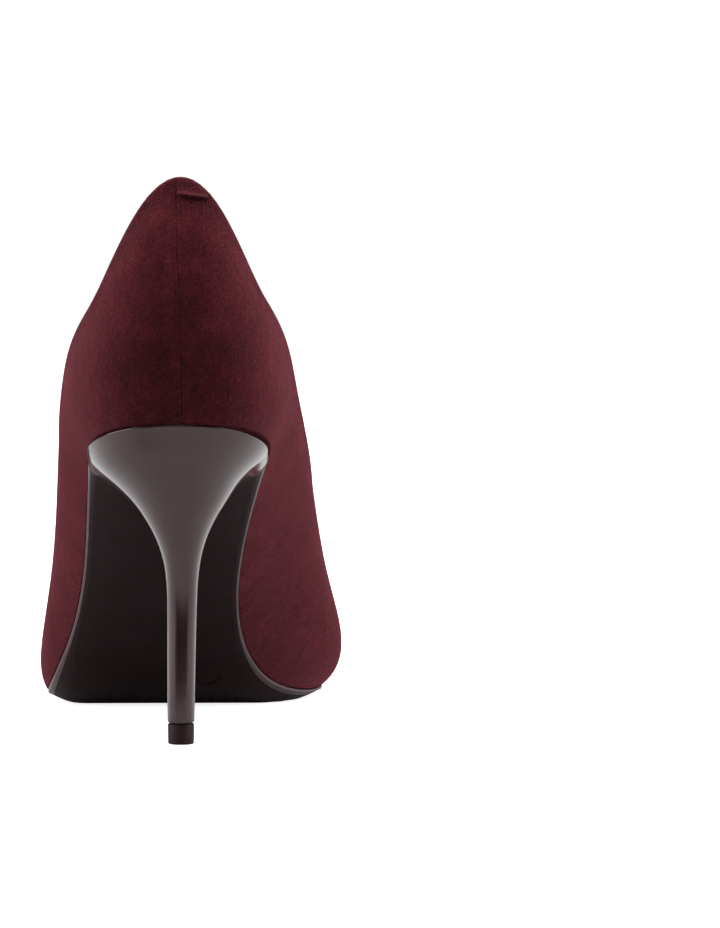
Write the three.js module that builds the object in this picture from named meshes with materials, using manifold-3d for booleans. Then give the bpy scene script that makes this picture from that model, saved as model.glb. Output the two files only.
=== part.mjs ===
// High heel pump, left shoe, in millimetres. +Y points to the toe, +X to the inner side of the foot, +Z up.
import * as THREE from "three";
import Module from "manifold-3d";
import { mergeVertices } from "three/addons/utils/BufferGeometryUtils.js";

const wasm = await Module();
wasm.setup();

// ---- Driving dimensions ----
const GAP = 0.3;
const UPPER_T = 1.0;
const BACKING_T = 0.6;
const LINING_T = 0.7;
const SLEEVE_GAP = 0.25;
const FLANGE_W = 8.5;
const INSOLE_RISE = 1.9;
const INSOLE_T = 1.2;
const BOARD_RISE = 3.4;
const BOARD_T = 1.0;
const SOCK_RISE = 4.75;
const SOCK_T = 0.9;
const PAD_T = 1.5;
const BOARD_INSET = 3.2;
const TREAD_T = 4.0;
const WAIST_T = 1.7;
const TOP_PIECE_H = 5.5;
const HEEL_CENTRE = 24;
const FAN_END = 45;
const TOE_START = 168;
const TOE_CENTRE = 210;
const TOE_TIP = 225;
const STEM_Y = 20.7;

// Half plans of the last, back to toe: x, y of the feather line, then bulge, rise and crown of the wall.
const OUTER_SIDE = [
  [0, 0, 8, 42, 19],
  [-12.8, 1.8, 9.5, 38, 12],
  [-21.6, 10, 12.5, 32, 4],
  [-25.3, 26, 18.5, 29, 2],
  [-25.2, 46, 22.5, 28, 9],
  [-26, 68, 23.5, 28, 16],
  [-27.2, 90, 22.5, 27, 20],
  [-31.5, 110, 17.5, 23, 22],
  [-38.4, 128, 11, 18, 23],
  [-39, 149, 8.5, 15, 22],
  [-31.5, 173, 7.5, 12.5, 18],
  [-20, 195, 6, 10.5, 13],
  [-8.5, 213, 4, 9, 8],
  [-2, 221.5, 3, 8, 5],
  [4.5, 225, 2.5, 7.5, 4],
];
const INNER_SIDE = [
  [0, 0, 8, 42, 19],
  [12.8, 1.8, 9, 38, 12],
  [21.4, 10, 11.5, 32, 3],
  [25.1, 26, 15.8, 29, 1.6],
  [23.2, 46, 22.6, 28, 10.3],
  [18.8, 68, 33, 28, 17.2],
  [15.6, 90, 40.5, 27, 22],
  [17, 111, 41.5, 26, 26],
  [25.5, 128, 34.5, 23, 28],
  [39.5, 145, 22.5, 16.5, 27],
  [43, 165, 13, 11.8, 23],
  [35.5, 190, 8, 10.5, 16],
  [23, 209, 5, 9, 9],
  [11.5, 221, 3, 8, 5],
  [4.5, 225, 2.5, 7.5, 4],
];
// Heights along the shoe: feather line, instep ridge and topline, then the centre line across it.
const seatHeight = spline([
  [0, 87],
  [22, 80.6],
  [44, 73.2],
  [68, 56.5],
  [92, 36],
  [112, 18.6],
  [126, 8.4],
  [138, 4],
  [152, 3.2],
  [170, 3.4],
  [190, 5.4],
  [210, 9],
  [226, 13],
]);
const ridgeHeight = spline([
  [20, 174],
  [45, 152],
  [75, 124],
  [105, 94],
  [128, 69],
  [148, 50.5],
  [165, 40],
  [182, 32],
  [198, 26],
  [212, 21.8],
]);
const toplineHeight = spline([
  [0, 165],
  [5, 154.3],
  [9, 142.4],
  [12, 131.9],
  [15.5, 124],
  [19, 119.5],
  [28, 111.5],
  [45, 99.5],
  [75, 82.5],
  [105, 66],
  [130, 54],
  [148, 49.5],
  [170, 49],
]);
const centreX = spline([
  [0, 0],
  [24, 0],
  [45, 1.2],
  [80, 4],
  [120, 6],
  [150, 6.2],
  [180, 5.6],
  [212, 4.8],
  [226, 4.6],
]);
// Heel block levels, tip to seat: height at the stem, forward slope, half width, back, front, squareness, sideways shift.
const HEEL_LEVELS = [
  [TOP_PIECE_H + GAP, 0, 3.64, 16.3, 25, 2.3, 0],
  [26, 0, 3.85, 15.4, 25.2, 2.3, 0.18],
  [39.5, 0.03, 4.12, 13.6, 26, 2.3, 0.34],
  [47.6, 0.06, 4.84, 11.8, 27.4, 2.3, 0.34],
  [54, 0.1, 6.63, 10, 29.6, 2.4, 0.14],
  [60, 0.13, 9.61, 8, 33, 2.7, -0.1],
  [65, 0.16, 12.98, 6, 37.4, 3.1, -0.43],
  [69.5, 0.16, 16.7, 4.2, 42, 3.6, -1.1],
  [73, 0.18, 20.49, 2.8, 46, 4.1, -1.35],
  [76, 0.24, 23.59, 1.7, 48.4, 4.6, -1],
  [79, 0.27, 24.09, 0.9, 49.4, 5, -0.65],
  [90, 0.27, 24.2, 0.2, 50, 5, -0.5],
];

// ---- Curves ----
function spline(points) {
  const n = points.length;
  const x = points.map((p) => p[0]);
  const y = points.map((p) => p[1]);
  const upper = new Array(n).fill(0);
  const bend = new Array(n).fill(0);
  for (let i = 1; i < n - 1; i++) {
    const before = x[i] - x[i - 1];
    const after = x[i + 1] - x[i];
    const turn = 6 * ((y[i + 1] - y[i]) / after - (y[i] - y[i - 1]) / before);
    const pivot = 2 * (before + after) - before * upper[i - 1];
    upper[i] = after / pivot;
    bend[i] = (turn - before * bend[i - 1]) / pivot;
  }
  for (let i = n - 2; i > 0; i--) bend[i] -= upper[i] * bend[i + 1];
  return (t) => {
    const at = Math.min(Math.max(t, x[0]), x[n - 1]);
    let i = 0;
    while (i < n - 2 && x[i + 1] < at) i++;
    const h = x[i + 1] - x[i];
    const a = (x[i + 1] - at) / h;
    const b = (at - x[i]) / h;
    const curve = (a ** 3 - a) * bend[i] + (b ** 3 - b) * bend[i + 1];
    return a * y[i] + b * y[i + 1] + (curve * h * h) / 6;
  };
}

function sideCurve(table, other) {
  const rows = [other[1], ...table, other[other.length - 2]];
  const samples = [];
  const steps = 900;
  for (let k = 0; k <= steps; k++) {
    const u = (k / steps) * (table.length - 1);
    const i = Math.min(Math.floor(u), table.length - 2);
    const t = u - i;
    const weight = [
      (1 - t) ** 3 / 6,
      (3 * t ** 3 - 6 * t * t + 4) / 6,
      (-3 * t ** 3 + 3 * t * t + 3 * t + 1) / 6,
      t ** 3 / 6,
    ];
    samples.push(
      [0, 1, 2, 3, 4].map((c) =>
        weight.reduce((sum, w, r) => sum + w * rows[i + r][c], 0),
      ),
    );
  }
  return samples;
}

const SIDES = {
  inner: sideCurve(INNER_SIDE, OUTER_SIDE),
  outer: sideCurve(OUTER_SIDE, INNER_SIDE),
};
const BACK_Y = SIDES.inner[0][1];
const TIP_Y = SIDES.inner[SIDES.inner.length - 1][1];

function featherAt(side, y) {
  const rows = SIDES[side];
  let i = 0;
  while (i < rows.length - 2 && rows[i + 1][1] < y) i++;
  const span = rows[i + 1][1] - rows[i][1];
  const t = THREE.MathUtils.clamp((y - rows[i][1]) / span, 0, 1);
  return rows[i].map((value, c) => value + t * (rows[i + 1][c] - value));
}

function centreY(y) {
  if (y < FAN_END) {
    const power = FAN_END / (FAN_END - HEEL_CENTRE);
    const share = Math.max(y, 0) / FAN_END;
    return HEEL_CENTRE + (FAN_END - HEEL_CENTRE) * share ** power;
  }
  if (y > TOE_START) {
    const t = (y - TOE_START) / (TOE_TIP - TOE_START);
    const a = (TOE_TIP - TOE_START) / (TOE_CENTRE - TOE_START);
    return TOE_START + (TOE_CENTRE - TOE_START) * (a * t + (1 - a) * t * t);
  }
  return y;
}

// One wall of the last: a Bezier in the plane that joins the centre line to a feather point.
function wallAt(side, y) {
  const [x, , out, up, crown] = featherAt(side, y);
  const cy = centreY(y);
  const centre = new THREE.Vector2(centreX(cy), cy);
  const run = new THREE.Vector2(x, y).sub(centre);
  const reach = run.length();
  run.divideScalar(reach);
  const ridge = ridgeHeight(cy);
  const slope = cy > 150 ? ridgeHeight(cy + 0.5) - ridgeHeight(cy - 0.5) : 0;
  const foot = seatHeight(y) + GAP;
  return {
    side,
    y,
    up,
    centre,
    run,
    reach,
    r: [reach, reach + out, crown, 0],
    z: [foot, foot + up, ridge + slope * run.y * crown, ridge],
  };
}

function onWall(wall, v) {
  const w = [(1 - v) ** 3, 3 * (1 - v) ** 2 * v, 3 * (1 - v) * v * v, v ** 3];
  const r = w.reduce((sum, k, i) => sum + k * wall.r[i], 0);
  const z = w.reduce((sum, k, i) => sum + k * wall.z[i], 0);
  return new THREE.Vector3(
    wall.centre.x + wall.run.x * r,
    wall.centre.y + wall.run.y * r,
    z,
  );
}

function toplineShare(wall) {
  const above = (v) => {
    const p = onWall(wall, v);
    return p.z - toplineHeight(p.y) - 0.05 * (p.x - wall.centre.x);
  };
  for (let v = 0.05; v < 1; v += 0.02) {
    if (above(v + 0.02) < 0) continue;
    let low = v;
    let high = v + 0.02;
    for (let k = 0; k < 30; k++) {
      const middle = (low + high) / 2;
      if (above(middle) < 0) low = middle;
      else high = middle;
    }
    return Math.min(high, 1);
  }
  return 1;
}

function throatY() {
  let low = 130;
  let high = 168;
  for (let k = 0; k < 40; k++) {
    const middle = (low + high) / 2;
    if (ridgeHeight(middle) > toplineHeight(middle)) low = middle;
    else high = middle;
  }
  return high;
}

// ---- Grid over the last ----
const THROAT = throatY();
const COUNTER_END = 62;
const LINING_SPLIT = 96;
const PUFF_START = 178;
const GRIP_END = 34;

function stationList() {
  const list = [];
  const add = (y) => list.push(y);
  for (let k = 0; k < 8; k++)
    add(BACK_Y + (FAN_END - BACK_Y) * (1 - Math.cos((k * Math.PI) / 16)));
  for (let k = 0; k <= 13; k++)
    add(THROAT - (THROAT - FAN_END) * (1 - k / 13) ** 1.5);
  for (let k = 1; k < 3; k++) add(THROAT + ((TOE_START - THROAT) * k) / 3);
  for (let k = 0; k < 9; k++)
    add(TOE_START + (TIP_Y - TOE_START) * Math.sin((k * Math.PI) / 18));
  add(TIP_Y);
  for (const seam of [COUNTER_END, LINING_SPLIT, PUFF_START, GRIP_END]) {
    const near = list.findIndex((y) => Math.abs(y - seam) < 3);
    if (near > 0) list.splice(near, 1);
    list.push(seam, seam + 0.4);
  }
  return list.sort((a, b) => a - b);
}

const STATIONS = stationList();
const SHARES = [0, 0.2, 0.4, 0.6, 0.8, 0.83, 1];
const ROWS = SHARES.length + 2;
const TAPE_ROW = ROWS - 2;

function buildGrid(side) {
  return STATIONS.map((y) => {
    const wall = wallAt(side, y);
    const top = y >= THROAT - 1e-6 ? 1 : toplineShare(wall);
    const start = 2.2 / (3 * wall.up);
    const flange = Math.min(FLANGE_W, 0.45 * wall.reach);
    const folded = new THREE.Vector3(
      wall.centre.x + wall.run.x * (wall.reach - flange),
      wall.centre.y + wall.run.y * (wall.reach - flange),
      0,
    );
    folded.z = seatHeight(folded.y) + GAP;
    const column = [folded, onWall(wall, 0)];
    for (const share of SHARES)
      column.push(onWall(wall, start + (top - start) * share));
    return column;
  });
}

const GRID = { inner: buildGrid("inner"), outer: buildGrid("outer") };
const keyOf = (p) => `${p.x.toFixed(3)},${p.y.toFixed(3)},${p.z.toFixed(3)}`;

// Triangles of the cells from station i0 to i1 and row j0 to j1 on one or both sides, facing out.
function cells(i0, i1, j0, j1, sides = ["inner", "outer"], grid = GRID) {
  const faces = [];
  for (const side of sides) {
    const g = grid[side];
    for (let i = i0; i < i1; i++) {
      for (let j = j0; j < j1; j++) {
        const quad = [g[i][j], g[i + 1][j], g[i + 1][j + 1], g[i][j + 1]];
        if (side === "outer") quad.reverse();
        faces.push([quad[0], quad[1], quad[2]], [quad[0], quad[2], quad[3]]);
      }
    }
  }
  return faces.filter((f) => new Set(f.map(keyOf)).size === 3);
}

function normalsOf(faces) {
  const sums = new Map();
  const units = faces.map(([a, b, c]) => {
    const n = b.clone().sub(a).cross(c.clone().sub(a));
    for (const p of [a, b, c]) {
      const key = keyOf(p);
      if (!sums.has(key)) sums.set(key, new THREE.Vector3());
      sums.get(key).add(n);
    }
    return n.clone().normalize();
  });
  for (const n of sums.values()) n.normalize();
  const lean = new Map();
  faces.forEach((face, k) => {
    for (const p of face) {
      const key = keyOf(p);
      if (!lean.has(key)) lean.set(key, []);
      lean.get(key).push(sums.get(key).dot(units[k]));
    }
  });
  for (const [key, n] of sums) {
    const values = lean.get(key);
    const mean = values.reduce((s, x) => s + x, 0) / values.length;
    n.divideScalar(Math.max(mean, 0.7));
  }
  return sums;
}

// A closed solid between two moved copies of a face list; free edges get walls.
function closeBetween(faces, moveFront, moveBack) {
  const positions = [];
  const index = [];
  const ids = new Map();
  const idOf = (p) => {
    const key = keyOf(p);
    if (!ids.has(key)) {
      ids.set(key, ids.size);
      positions.push(moveFront(p, key), moveBack(p, key));
    }
    return ids.get(key);
  };
  const edges = new Set();
  const loops = faces.map((face) => face.map(idOf));
  for (const [a, b, c] of loops) {
    index.push(2 * a, 2 * b, 2 * c, 2 * a + 1, 2 * c + 1, 2 * b + 1);
    for (const [p, q] of [
      [a, b],
      [b, c],
      [c, a],
    ])
      edges.add(`${p} ${q}`);
  }
  for (const edge of edges) {
    const [p, q] = edge.split(" ").map(Number);
    if (edges.has(`${q} ${p}`)) continue;
    index.push(2 * p, 2 * p + 1, 2 * q + 1, 2 * p, 2 * q + 1, 2 * q);
  }
  const geometry = new THREE.BufferGeometry().setFromPoints(positions);
  geometry.setIndex(index);
  return geometry;
}

const WHOLE = cells(0, STATIONS.length - 1, 0, ROWS - 1);
const NORMALS = normalsOf(WHOLE);

function layer(faces, front, back) {
  const move = (depth) => (p, key) =>
    p.clone().addScaledVector(NORMALS.get(key), -depth);
  return closeBetween(faces, move(front), move(back));
}

// ---- Flat pieces that follow the seat line ----
function planPoint(side, y, inset) {
  const wall = wallAt(side, y);
  return new THREE.Vector3(
    wall.centre.x + wall.run.x * (wall.reach - inset),
    wall.centre.y + wall.run.y * (wall.reach - inset),
    0,
  );
}

function spread(from, to, count) {
  const list = [];
  for (let k = 0; k <= count; k++) {
    const t = k / count;
    const easeIn = from <= BACK_Y;
    const easeOut = to >= TIP_Y;
    let s = t;
    if (easeIn && easeOut) s = (1 - Math.cos(Math.PI * t)) / 2;
    else if (easeIn) s = 1 - Math.cos((Math.PI * t) / 2);
    else if (easeOut) s = Math.sin((Math.PI * t) / 2);
    list.push(from + (to - from) * s);
  }
  return list;
}

// A slab between two heights whose outline is the feather line drawn in by an inset.
function slab({ from, to, count, inset, lowInset, low, high }) {
  const lower = lowInset ?? inset;
  const value = (rule, y) => (typeof rule === "function" ? rule(y) : rule);
  const rows = spread(from, to, count).map((y) => ({
    lateral: planPoint("outer", y, value(inset, y)),
    medial: planPoint("inner", y, value(inset, y)),
    lowLateral: planPoint("outer", y, value(lower, y)),
    lowMedial: planPoint("inner", y, value(lower, y)),
  }));
  const under = new Map();
  for (const row of rows) {
    under.set(keyOf(row.lateral), row.lowLateral);
    under.set(keyOf(row.medial), row.lowMedial);
  }
  const faces = [];
  for (let i = 0; i + 1 < rows.length; i++) {
    const a = rows[i];
    const b = rows[i + 1];
    faces.push([a.lateral, a.medial, b.medial], [a.lateral, b.medial, b.lateral]);
  }
  const kept = faces.filter((f) => new Set(f.map(keyOf)).size === 3);
  const lift = (p, rule) => new THREE.Vector3(p.x, p.y, rule(p.y));
  return closeBetween(
    kept,
    (p) => lift(p, high),
    (p, key) => lift(under.get(key), low),
  );
}

const seatPlus = (rise) => (y) => seatHeight(y) + rise;

function midX(y) {
  return (featherAt("inner", y)[0] + featherAt("outer", y)[0]) / 2;
}

function strip(from, to, count, halfWidth, low, high) {
  const points = [];
  for (let k = 0; k <= count; k++) {
    const y = from + ((to - from) * k) / count;
    const share = Math.min(k, count - k) === 0 ? 0.55 : 1;
    points.push([
      new THREE.Vector3(midX(y) - halfWidth * share, y, 0),
      new THREE.Vector3(midX(y) + halfWidth * share, y, 0),
    ]);
  }
  const faces = [];
  for (let i = 0; i + 1 < points.length; i++) {
    const [a, b] = points[i];
    const [d, c] = points[i + 1];
    faces.push([a, b, c], [a, c, d]);
  }
  const lift = (rule) => (p) => new THREE.Vector3(p.x, p.y, rule(p.y));
  return closeBetween(faces, lift(high), lift(low));
}

// ---- Solid helpers ----
function solid(geometry) {
  const plain = geometry.clone();
  plain.deleteAttribute("normal");
  plain.deleteAttribute("uv");
  const merged = mergeVertices(plain, 1e-4);
  return new wasm.Manifold(
    new wasm.Mesh({
      numProp: 3,
      vertProperties: merged.attributes.position.array,
      triVerts: new Uint32Array(merged.index.array),
    }),
  );
}

function geometryOf(manifold) {
  const mesh = manifold.getMesh();
  const geometry = new THREE.BufferGeometry();
  geometry.setAttribute(
    "position",
    new THREE.BufferAttribute(new Float32Array(mesh.vertProperties), 3),
  );
  geometry.setIndex(new THREE.BufferAttribute(new Uint32Array(mesh.triVerts), 1));
  return geometry;
}

function minus(geometry, ...cuts) {
  return geometryOf(cuts.reduce((s, cut) => s.subtract(solid(cut)), solid(geometry)));
}

// A turned piece given as [radius, distance along the axis] pairs from a point along a direction.
function turned(profile, origin, direction, segments = 20) {
  const points = profile.map(([r, h]) => new THREE.Vector2(r, h));
  const geometry = new THREE.LatheGeometry(points, segments);
  const turn = new THREE.Quaternion().setFromUnitVectors(
    new THREE.Vector3(0, 1, 0),
    direction,
  );
  geometry.applyQuaternion(turn);
  geometry.translate(origin.x, origin.y, origin.z);
  return geometry;
}

function rod(radius, start, length, direction, segments = 16) {
  const profile = [
    [0, 0],
    [radius, 0],
    [radius, length],
    [0, length],
  ];
  return turned(profile, start, direction, segments);
}

const UP = new THREE.Vector3(0, 0, 1);

function seatNormal(y) {
  const slope = (seatHeight(y + 1) - seatHeight(y - 1)) / 2;
  return new THREE.Vector3(0, -slope, 1).normalize();
}

function onSeat(x, y, rise) {
  return new THREE.Vector3(x, y, seatHeight(y) + rise);
}

// ---- Heel block ----
function heelRing([height, slope, half, back, front, power, aside = 0], count) {
  const middle = (back + front) / 2 + (front - back) * 0.02;
  const ring = [];
  for (let k = 0; k < count; k++) {
    const angle = (2 * Math.PI * k) / count;
    const c = Math.cos(angle);
    const s = Math.sin(angle);
    const n = s < 0 ? 2.3 : power;
    const x = aside + half * Math.sign(c) * Math.abs(c) ** (2 / n);
    const depth = s < 0 ? middle - back : front - middle;
    const y = middle + depth * Math.sign(s) * Math.abs(s) ** (2 / n);
    ring.push(new THREE.Vector3(x, y, height - slope * (y - HEEL_CENTRE)));
  }
  return ring;
}

function loft(rings) {
  const count = rings[0].length;
  const points = rings.flat();
  const low = points.length;
  const middleOf = (ring) =>
    ring.reduce((s, p) => s.add(p), new THREE.Vector3()).divideScalar(count);
  points.push(middleOf(rings[0]), middleOf(rings[rings.length - 1]));
  const index = [];
  for (let i = 0; i + 1 < rings.length; i++) {
    for (let k = 0; k < count; k++) {
      const a = i * count + k;
      const b = i * count + ((k + 1) % count);
      index.push(a, b, b + count, a, b + count, a + count);
    }
  }
  const last = (rings.length - 1) * count;
  for (let k = 0; k < count; k++) {
    const next = (k + 1) % count;
    index.push(low, next, k, low + 1, last + k, last + next);
  }
  const geometry = new THREE.BufferGeometry().setFromPoints(points);
  geometry.setIndex(index);
  return geometry;
}

// Everything above the seat line, used to trim the heel block.
function aboveSeat(rise) {
  const profile = new THREE.Shape();
  profile.moveTo(-20, 140);
  for (let y = -20; y <= 80; y += 4) profile.lineTo(y, seatHeight(y) + rise - (y < 0 ? 0.29 * y : 0));
  profile.lineTo(80, 140);
  const geometry = new THREE.ExtrudeGeometry(profile, { depth: 90, bevelEnabled: false });
  geometry.applyMatrix4(
    new THREE.Matrix4().makeBasis(
      new THREE.Vector3(0, 1, 0),
      new THREE.Vector3(0, 0, 1),
      new THREE.Vector3(1, 0, 0),
    ),
  );
  geometry.translate(-45, 0, 0);
  return geometry;
}

// ---- Assembly ----
const group = new THREE.Group();

function add(name, geometry, color, roughness = 0.7, metalness = 0) {
  const material = new THREE.MeshStandardMaterial({ color, roughness, metalness });
  material.name = name;
  const mesh = new THREE.Mesh(geometry, material);
  mesh.name = name;
  group.add(mesh);
}

const LAST = STATIONS.length - 1;
const TOP_ROW = ROWS - 1;
const indexOf = (y) => STATIONS.findIndex((s) => Math.abs(s - y) < 1e-6);
const throatIndex = STATIONS.findIndex((y) => y >= THROAT - 1e-6);
const counterEnd = indexOf(COUNTER_END);
const liningSplit = indexOf(LINING_SPLIT);
const puffStart = indexOf(PUFF_START);
const gripEnd = indexOf(GRIP_END);
const backing = UPPER_T + SLEEVE_GAP;
const lining = backing + BACKING_T + SLEEVE_GAP;
const grip = lining + LINING_T + SLEEVE_GAP;

add("upper", layer(WHOLE, 0, UPPER_T), 0x6b1f33, 0.95);
add(
  "topline_tape",
  layer(cells(0, throatIndex + 1, TAPE_ROW, TOP_ROW), backing, backing + BACKING_T),
  0xd8cfc0,
);
add(
  "heel_counter",
  layer(cells(0, counterEnd, 2, TAPE_ROW - 1), backing, backing + BACKING_T),
  0xc9b48c,
);
add(
  "vamp_backing",
  layer(
    [
      ...cells(counterEnd + 1, puffStart, 2, TAPE_ROW - 1),
      ...cells(throatIndex + 2, puffStart, TAPE_ROW - 1, TOP_ROW),
    ],
    backing,
    backing + BACKING_T,
  ),
  0xe4ddd0,
);
add(
  "toe_puff",
  layer(cells(puffStart + 1, LAST, 2, TOP_ROW), backing, backing + BACKING_T),
  0xbfae90,
);
add(
  "quarter_lining",
  layer(cells(0, liningSplit, 2, TOP_ROW), lining, lining + LINING_T),
  0xcaa987,
);
add(
  "vamp_lining",
  layer(cells(liningSplit + 1, LAST, 2, TOP_ROW), lining, lining + LINING_T),
  0xcaa987,
);
add("heel_grip", layer(cells(0, gripEnd, 4, TAPE_ROW), grip, grip + 0.7), 0xb99570, 0.95);

// Pull tab stitched over the back seam, on the inner side of it.
const TAB = { columns: 5, rows: 4, drop: 0.037, near: 0.03, far: 0.27 };
const tabColumns = [];
for (let k = 0; k < TAB.columns; k++) {
  const turn = TAB.near + ((TAB.far - TAB.near) * k) / (TAB.columns - 1);
  const wall = wallAt("inner", BACK_Y + (FAN_END - BACK_Y) * (1 - Math.cos(turn)));
  const top = toplineShare(wall) - 0.004;
  const column = [];
  for (let j = 0; j <= TAB.rows; j++)
    column.push(onWall(wall, top - TAB.drop * (1 - j / TAB.rows)));
  tabColumns.push(column);
}
const tabFaces = cells(0, TAB.columns - 1, 0, TAB.rows, ["inner"], { inner: tabColumns });
const tabNormals = normalsOf(tabFaces);
const tabMove = (height) => (p, key) => p.clone().addScaledVector(tabNormals.get(key), height);
add("back_tab", closeBetween(tabFaces, tabMove(1.2), tabMove(GAP)), 0x6b1f33, 0.95);

// Fixings through the heel seat.
const SCREW_Y = 26;
const screwAxis = seatNormal(SCREW_Y);
const screwFoot = onSeat(0, SCREW_Y, 0).addScaledVector(screwAxis, -22);
const screwReach = 22 + (INSOLE_RISE + INSOLE_T + GAP) * screwAxis.z;
const screwProfile = [
  [0, 0],
  [1.9, 3.2],
  [1.9, screwReach],
  [3.6, screwReach + 0.2],
  [3.6, screwReach + 0.6],
  [0, screwReach + 0.9],
];
const screwHole = rod(2.3, onSeat(0, SCREW_Y, 0).addScaledVector(screwAxis, -24), 40, screwAxis, 20);
const screwHeadHole = rod(4.2, onSeat(0, SCREW_Y, 0), 12, screwAxis, 20);
const NAILS = [
  ["heel_nail_back_lateral", -10, 14],
  ["heel_nail_back_medial", 10, 14],
  ["heel_nail_front_lateral", -12, 38],
  ["heel_nail_front_medial", 12, 38],
];
const nailAxis = seatNormal(24);
const nailHoles = NAILS.map(([, x, y]) =>
  rod(1.15, onSeat(x, y, 0).addScaledVector(nailAxis, -11.5), 30, nailAxis, 12),
);
const RIVETS = [
  ["shank_rivet_rear", 45],
  ["shank_rivet_front", 108],
];
const rivetHoles = RIVETS.map(([, y]) =>
  rod(1.9, onSeat(midX(y), y, 0), 12, seatNormal(y), 12),
);
const rivetHeadHoles = RIVETS.map(([, y]) =>
  rod(3.5, onSeat(midX(y), y, 0), 12, seatNormal(y), 12),
);

add(
  "insole_board",
  minus(
    slab({
      from: BACK_Y,
      to: TIP_Y,
      count: 40,
      inset: BOARD_INSET,
      low: seatPlus(INSOLE_RISE),
      high: seatPlus(INSOLE_RISE + INSOLE_T),
    }),
    screwHole,
    ...nailHoles,
    ...rivetHoles,
  ),
  0xb48a5a,
);
add(
  "shank_board",
  minus(
    slab({
      from: BACK_Y,
      to: 118,
      count: 24,
      inset: BOARD_INSET + 0.6,
      low: seatPlus(BOARD_RISE),
      high: seatPlus(BOARD_RISE + BOARD_T),
    }),
    screwHeadHole,
    ...NAILS.map(([, x, y]) => rod(2.4, onSeat(x, y, 0), 9, nailAxis, 12)),
    ...rivetHeadHoles,
  ),
  0x8b6b48,
);
add(
  "shank",
  minus(
    strip(14, 118, 26, 5, seatPlus(GAP), seatPlus(GAP + 1.1)),
    screwHole,
    ...rivetHoles,
  ),
  0x9a9da0,
  0.35,
  1,
);
add(
  "forepart_filler",
  slab({
    from: 126,
    to: 206,
    count: 16,
    inset: FLANGE_W + 2,
    low: seatPlus(GAP),
    high: seatPlus(GAP + 1.2),
  }),
  0x9c7b52,
);
add(
  "ball_pad",
  slab({
    from: 118.6,
    to: 196,
    count: 18,
    inset: BOARD_INSET + 2.5,
    low: seatPlus(BOARD_RISE),
    high: seatPlus(BOARD_RISE + BOARD_T),
  }),
  0xe8d9a0,
);
const padRise = BOARD_RISE + BOARD_T + GAP;
add(
  "heel_pad",
  slab({
    from: BACK_Y,
    to: 58,
    count: 14,
    inset: 8,
    low: seatPlus(padRise),
    high: seatPlus(padRise + PAD_T),
  }),
  0xe8d9a0,
);
const sockRise = (y) => SOCK_RISE + (PAD_T + 0.25) * (1 - THREE.MathUtils.smoothstep(y, 59, 74));
add(
  "sock_lining",
  slab({
    from: BACK_Y,
    to: TIP_Y,
    count: 44,
    inset: BOARD_INSET + 1.6,
    low: (y) => seatHeight(y) + sockRise(y),
    high: (y) => seatHeight(y) + sockRise(y) + SOCK_T,
  }),
  0xcaa987,
  0.6,
);

// Outsole: thick and flat under the ball, thin through the waist, drawn in under the heel rim.
const soleT = (y) =>
  WAIST_T +
  (TREAD_T - WAIST_T) * THREE.MathUtils.smoothstep(y, 100, 138) -
  1.5 * THREE.MathUtils.smoothstep(y, 172, 215);
const soleInset = (y) => 0.3 + 2.6 * (1 - THREE.MathUtils.smoothstep(y, 48, 58));
const soleLow = (y) => Math.max(seatHeight(y) - soleT(y), 0);
const outsole = slab({
  from: BACK_Y,
  to: TIP_Y,
  count: 56,
  inset: soleInset,
  lowInset: (y) => soleInset(y) + 0.3 + 3.6 * THREE.MathUtils.smoothstep(y, 90, 136),
  low: soleLow,
  high: seatPlus(0),
});
add("outsole", minus(outsole, screwHole, ...nailHoles), 0x2a1b1e, 0.45);

const soleRoom = slab({
  from: BACK_Y,
  to: 90,
  count: 30,
  inset: (y) => soleInset(y) - GAP,
  low: (y) => soleLow(y) - GAP,
  high: seatPlus(3),
});
const heelBody = loft(HEEL_LEVELS.map((level) => heelRing(level, 36)));
const boreLow = new THREE.Vector3(0, STEM_Y, 0);
const tubeTop = 54;
add(
  "heel",
  minus(
    heelBody,
    aboveSeat(-GAP),
    soleRoom,
    screwHole,
    ...nailHoles,
    rod(2.6, boreLow, tubeTop + GAP, UP, 20),
  ),
  0x4a3a3b,
  0.2,
);
add(
  "heel_tube",
  turned(
    [
      [1.6, TOP_PIECE_H + GAP + 0.2],
      [2.3, TOP_PIECE_H + GAP + 0.2],
      [2.3, tubeTop],
      [1.6, tubeTop],
      [1.6, TOP_PIECE_H + GAP + 0.2],
    ],
    boreLow,
    UP,
  ),
  0x8f9296,
  0.35,
  1,
);
const pinHole = rod(1.6, new THREE.Vector3(0, STEM_Y, 2.2), 20, UP, 16);
add(
  "top_piece",
  minus(
    loft([
      heelRing([0, 0, 3.15, 16.85, 24.45, 2.3], 32),
      heelRing([0.4, 0, 3.4, 16.6, 24.7, 2.3], 32),
      heelRing([TOP_PIECE_H, 0, 3.5, 16.5, 24.8, 2.3], 32),
    ]),
    pinHole,
  ),
  0x352427,
  0.55,
);
add(
  "top_piece_pin",
  turned(
    [
      [0, 2.5],
      [1.3, 2.5],
      [1.3, 20],
      [0.8, 22],
      [0, 22],
    ],
    boreLow,
    UP,
    16,
  ),
  0x8f9296,
  0.35,
  1,
);
add("heel_screw", turned(screwProfile, screwFoot, screwAxis), 0x8f9296, 0.35, 1);
for (const [name, x, y] of NAILS) {
  const start = onSeat(x, y, 0).addScaledVector(nailAxis, -11);
  const length = 11 + (INSOLE_RISE + INSOLE_T + GAP) * nailAxis.z;
  const profile = [
    [0, 0],
    [0.85, 1.6],
    [0.85, length],
    [1.8, length],
    [1.8, length + 0.5],
    [0, length + 0.5],
  ];
  add(name, turned(profile, start, nailAxis, 12), 0x9a9da0, 0.4, 1);
}
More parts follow.
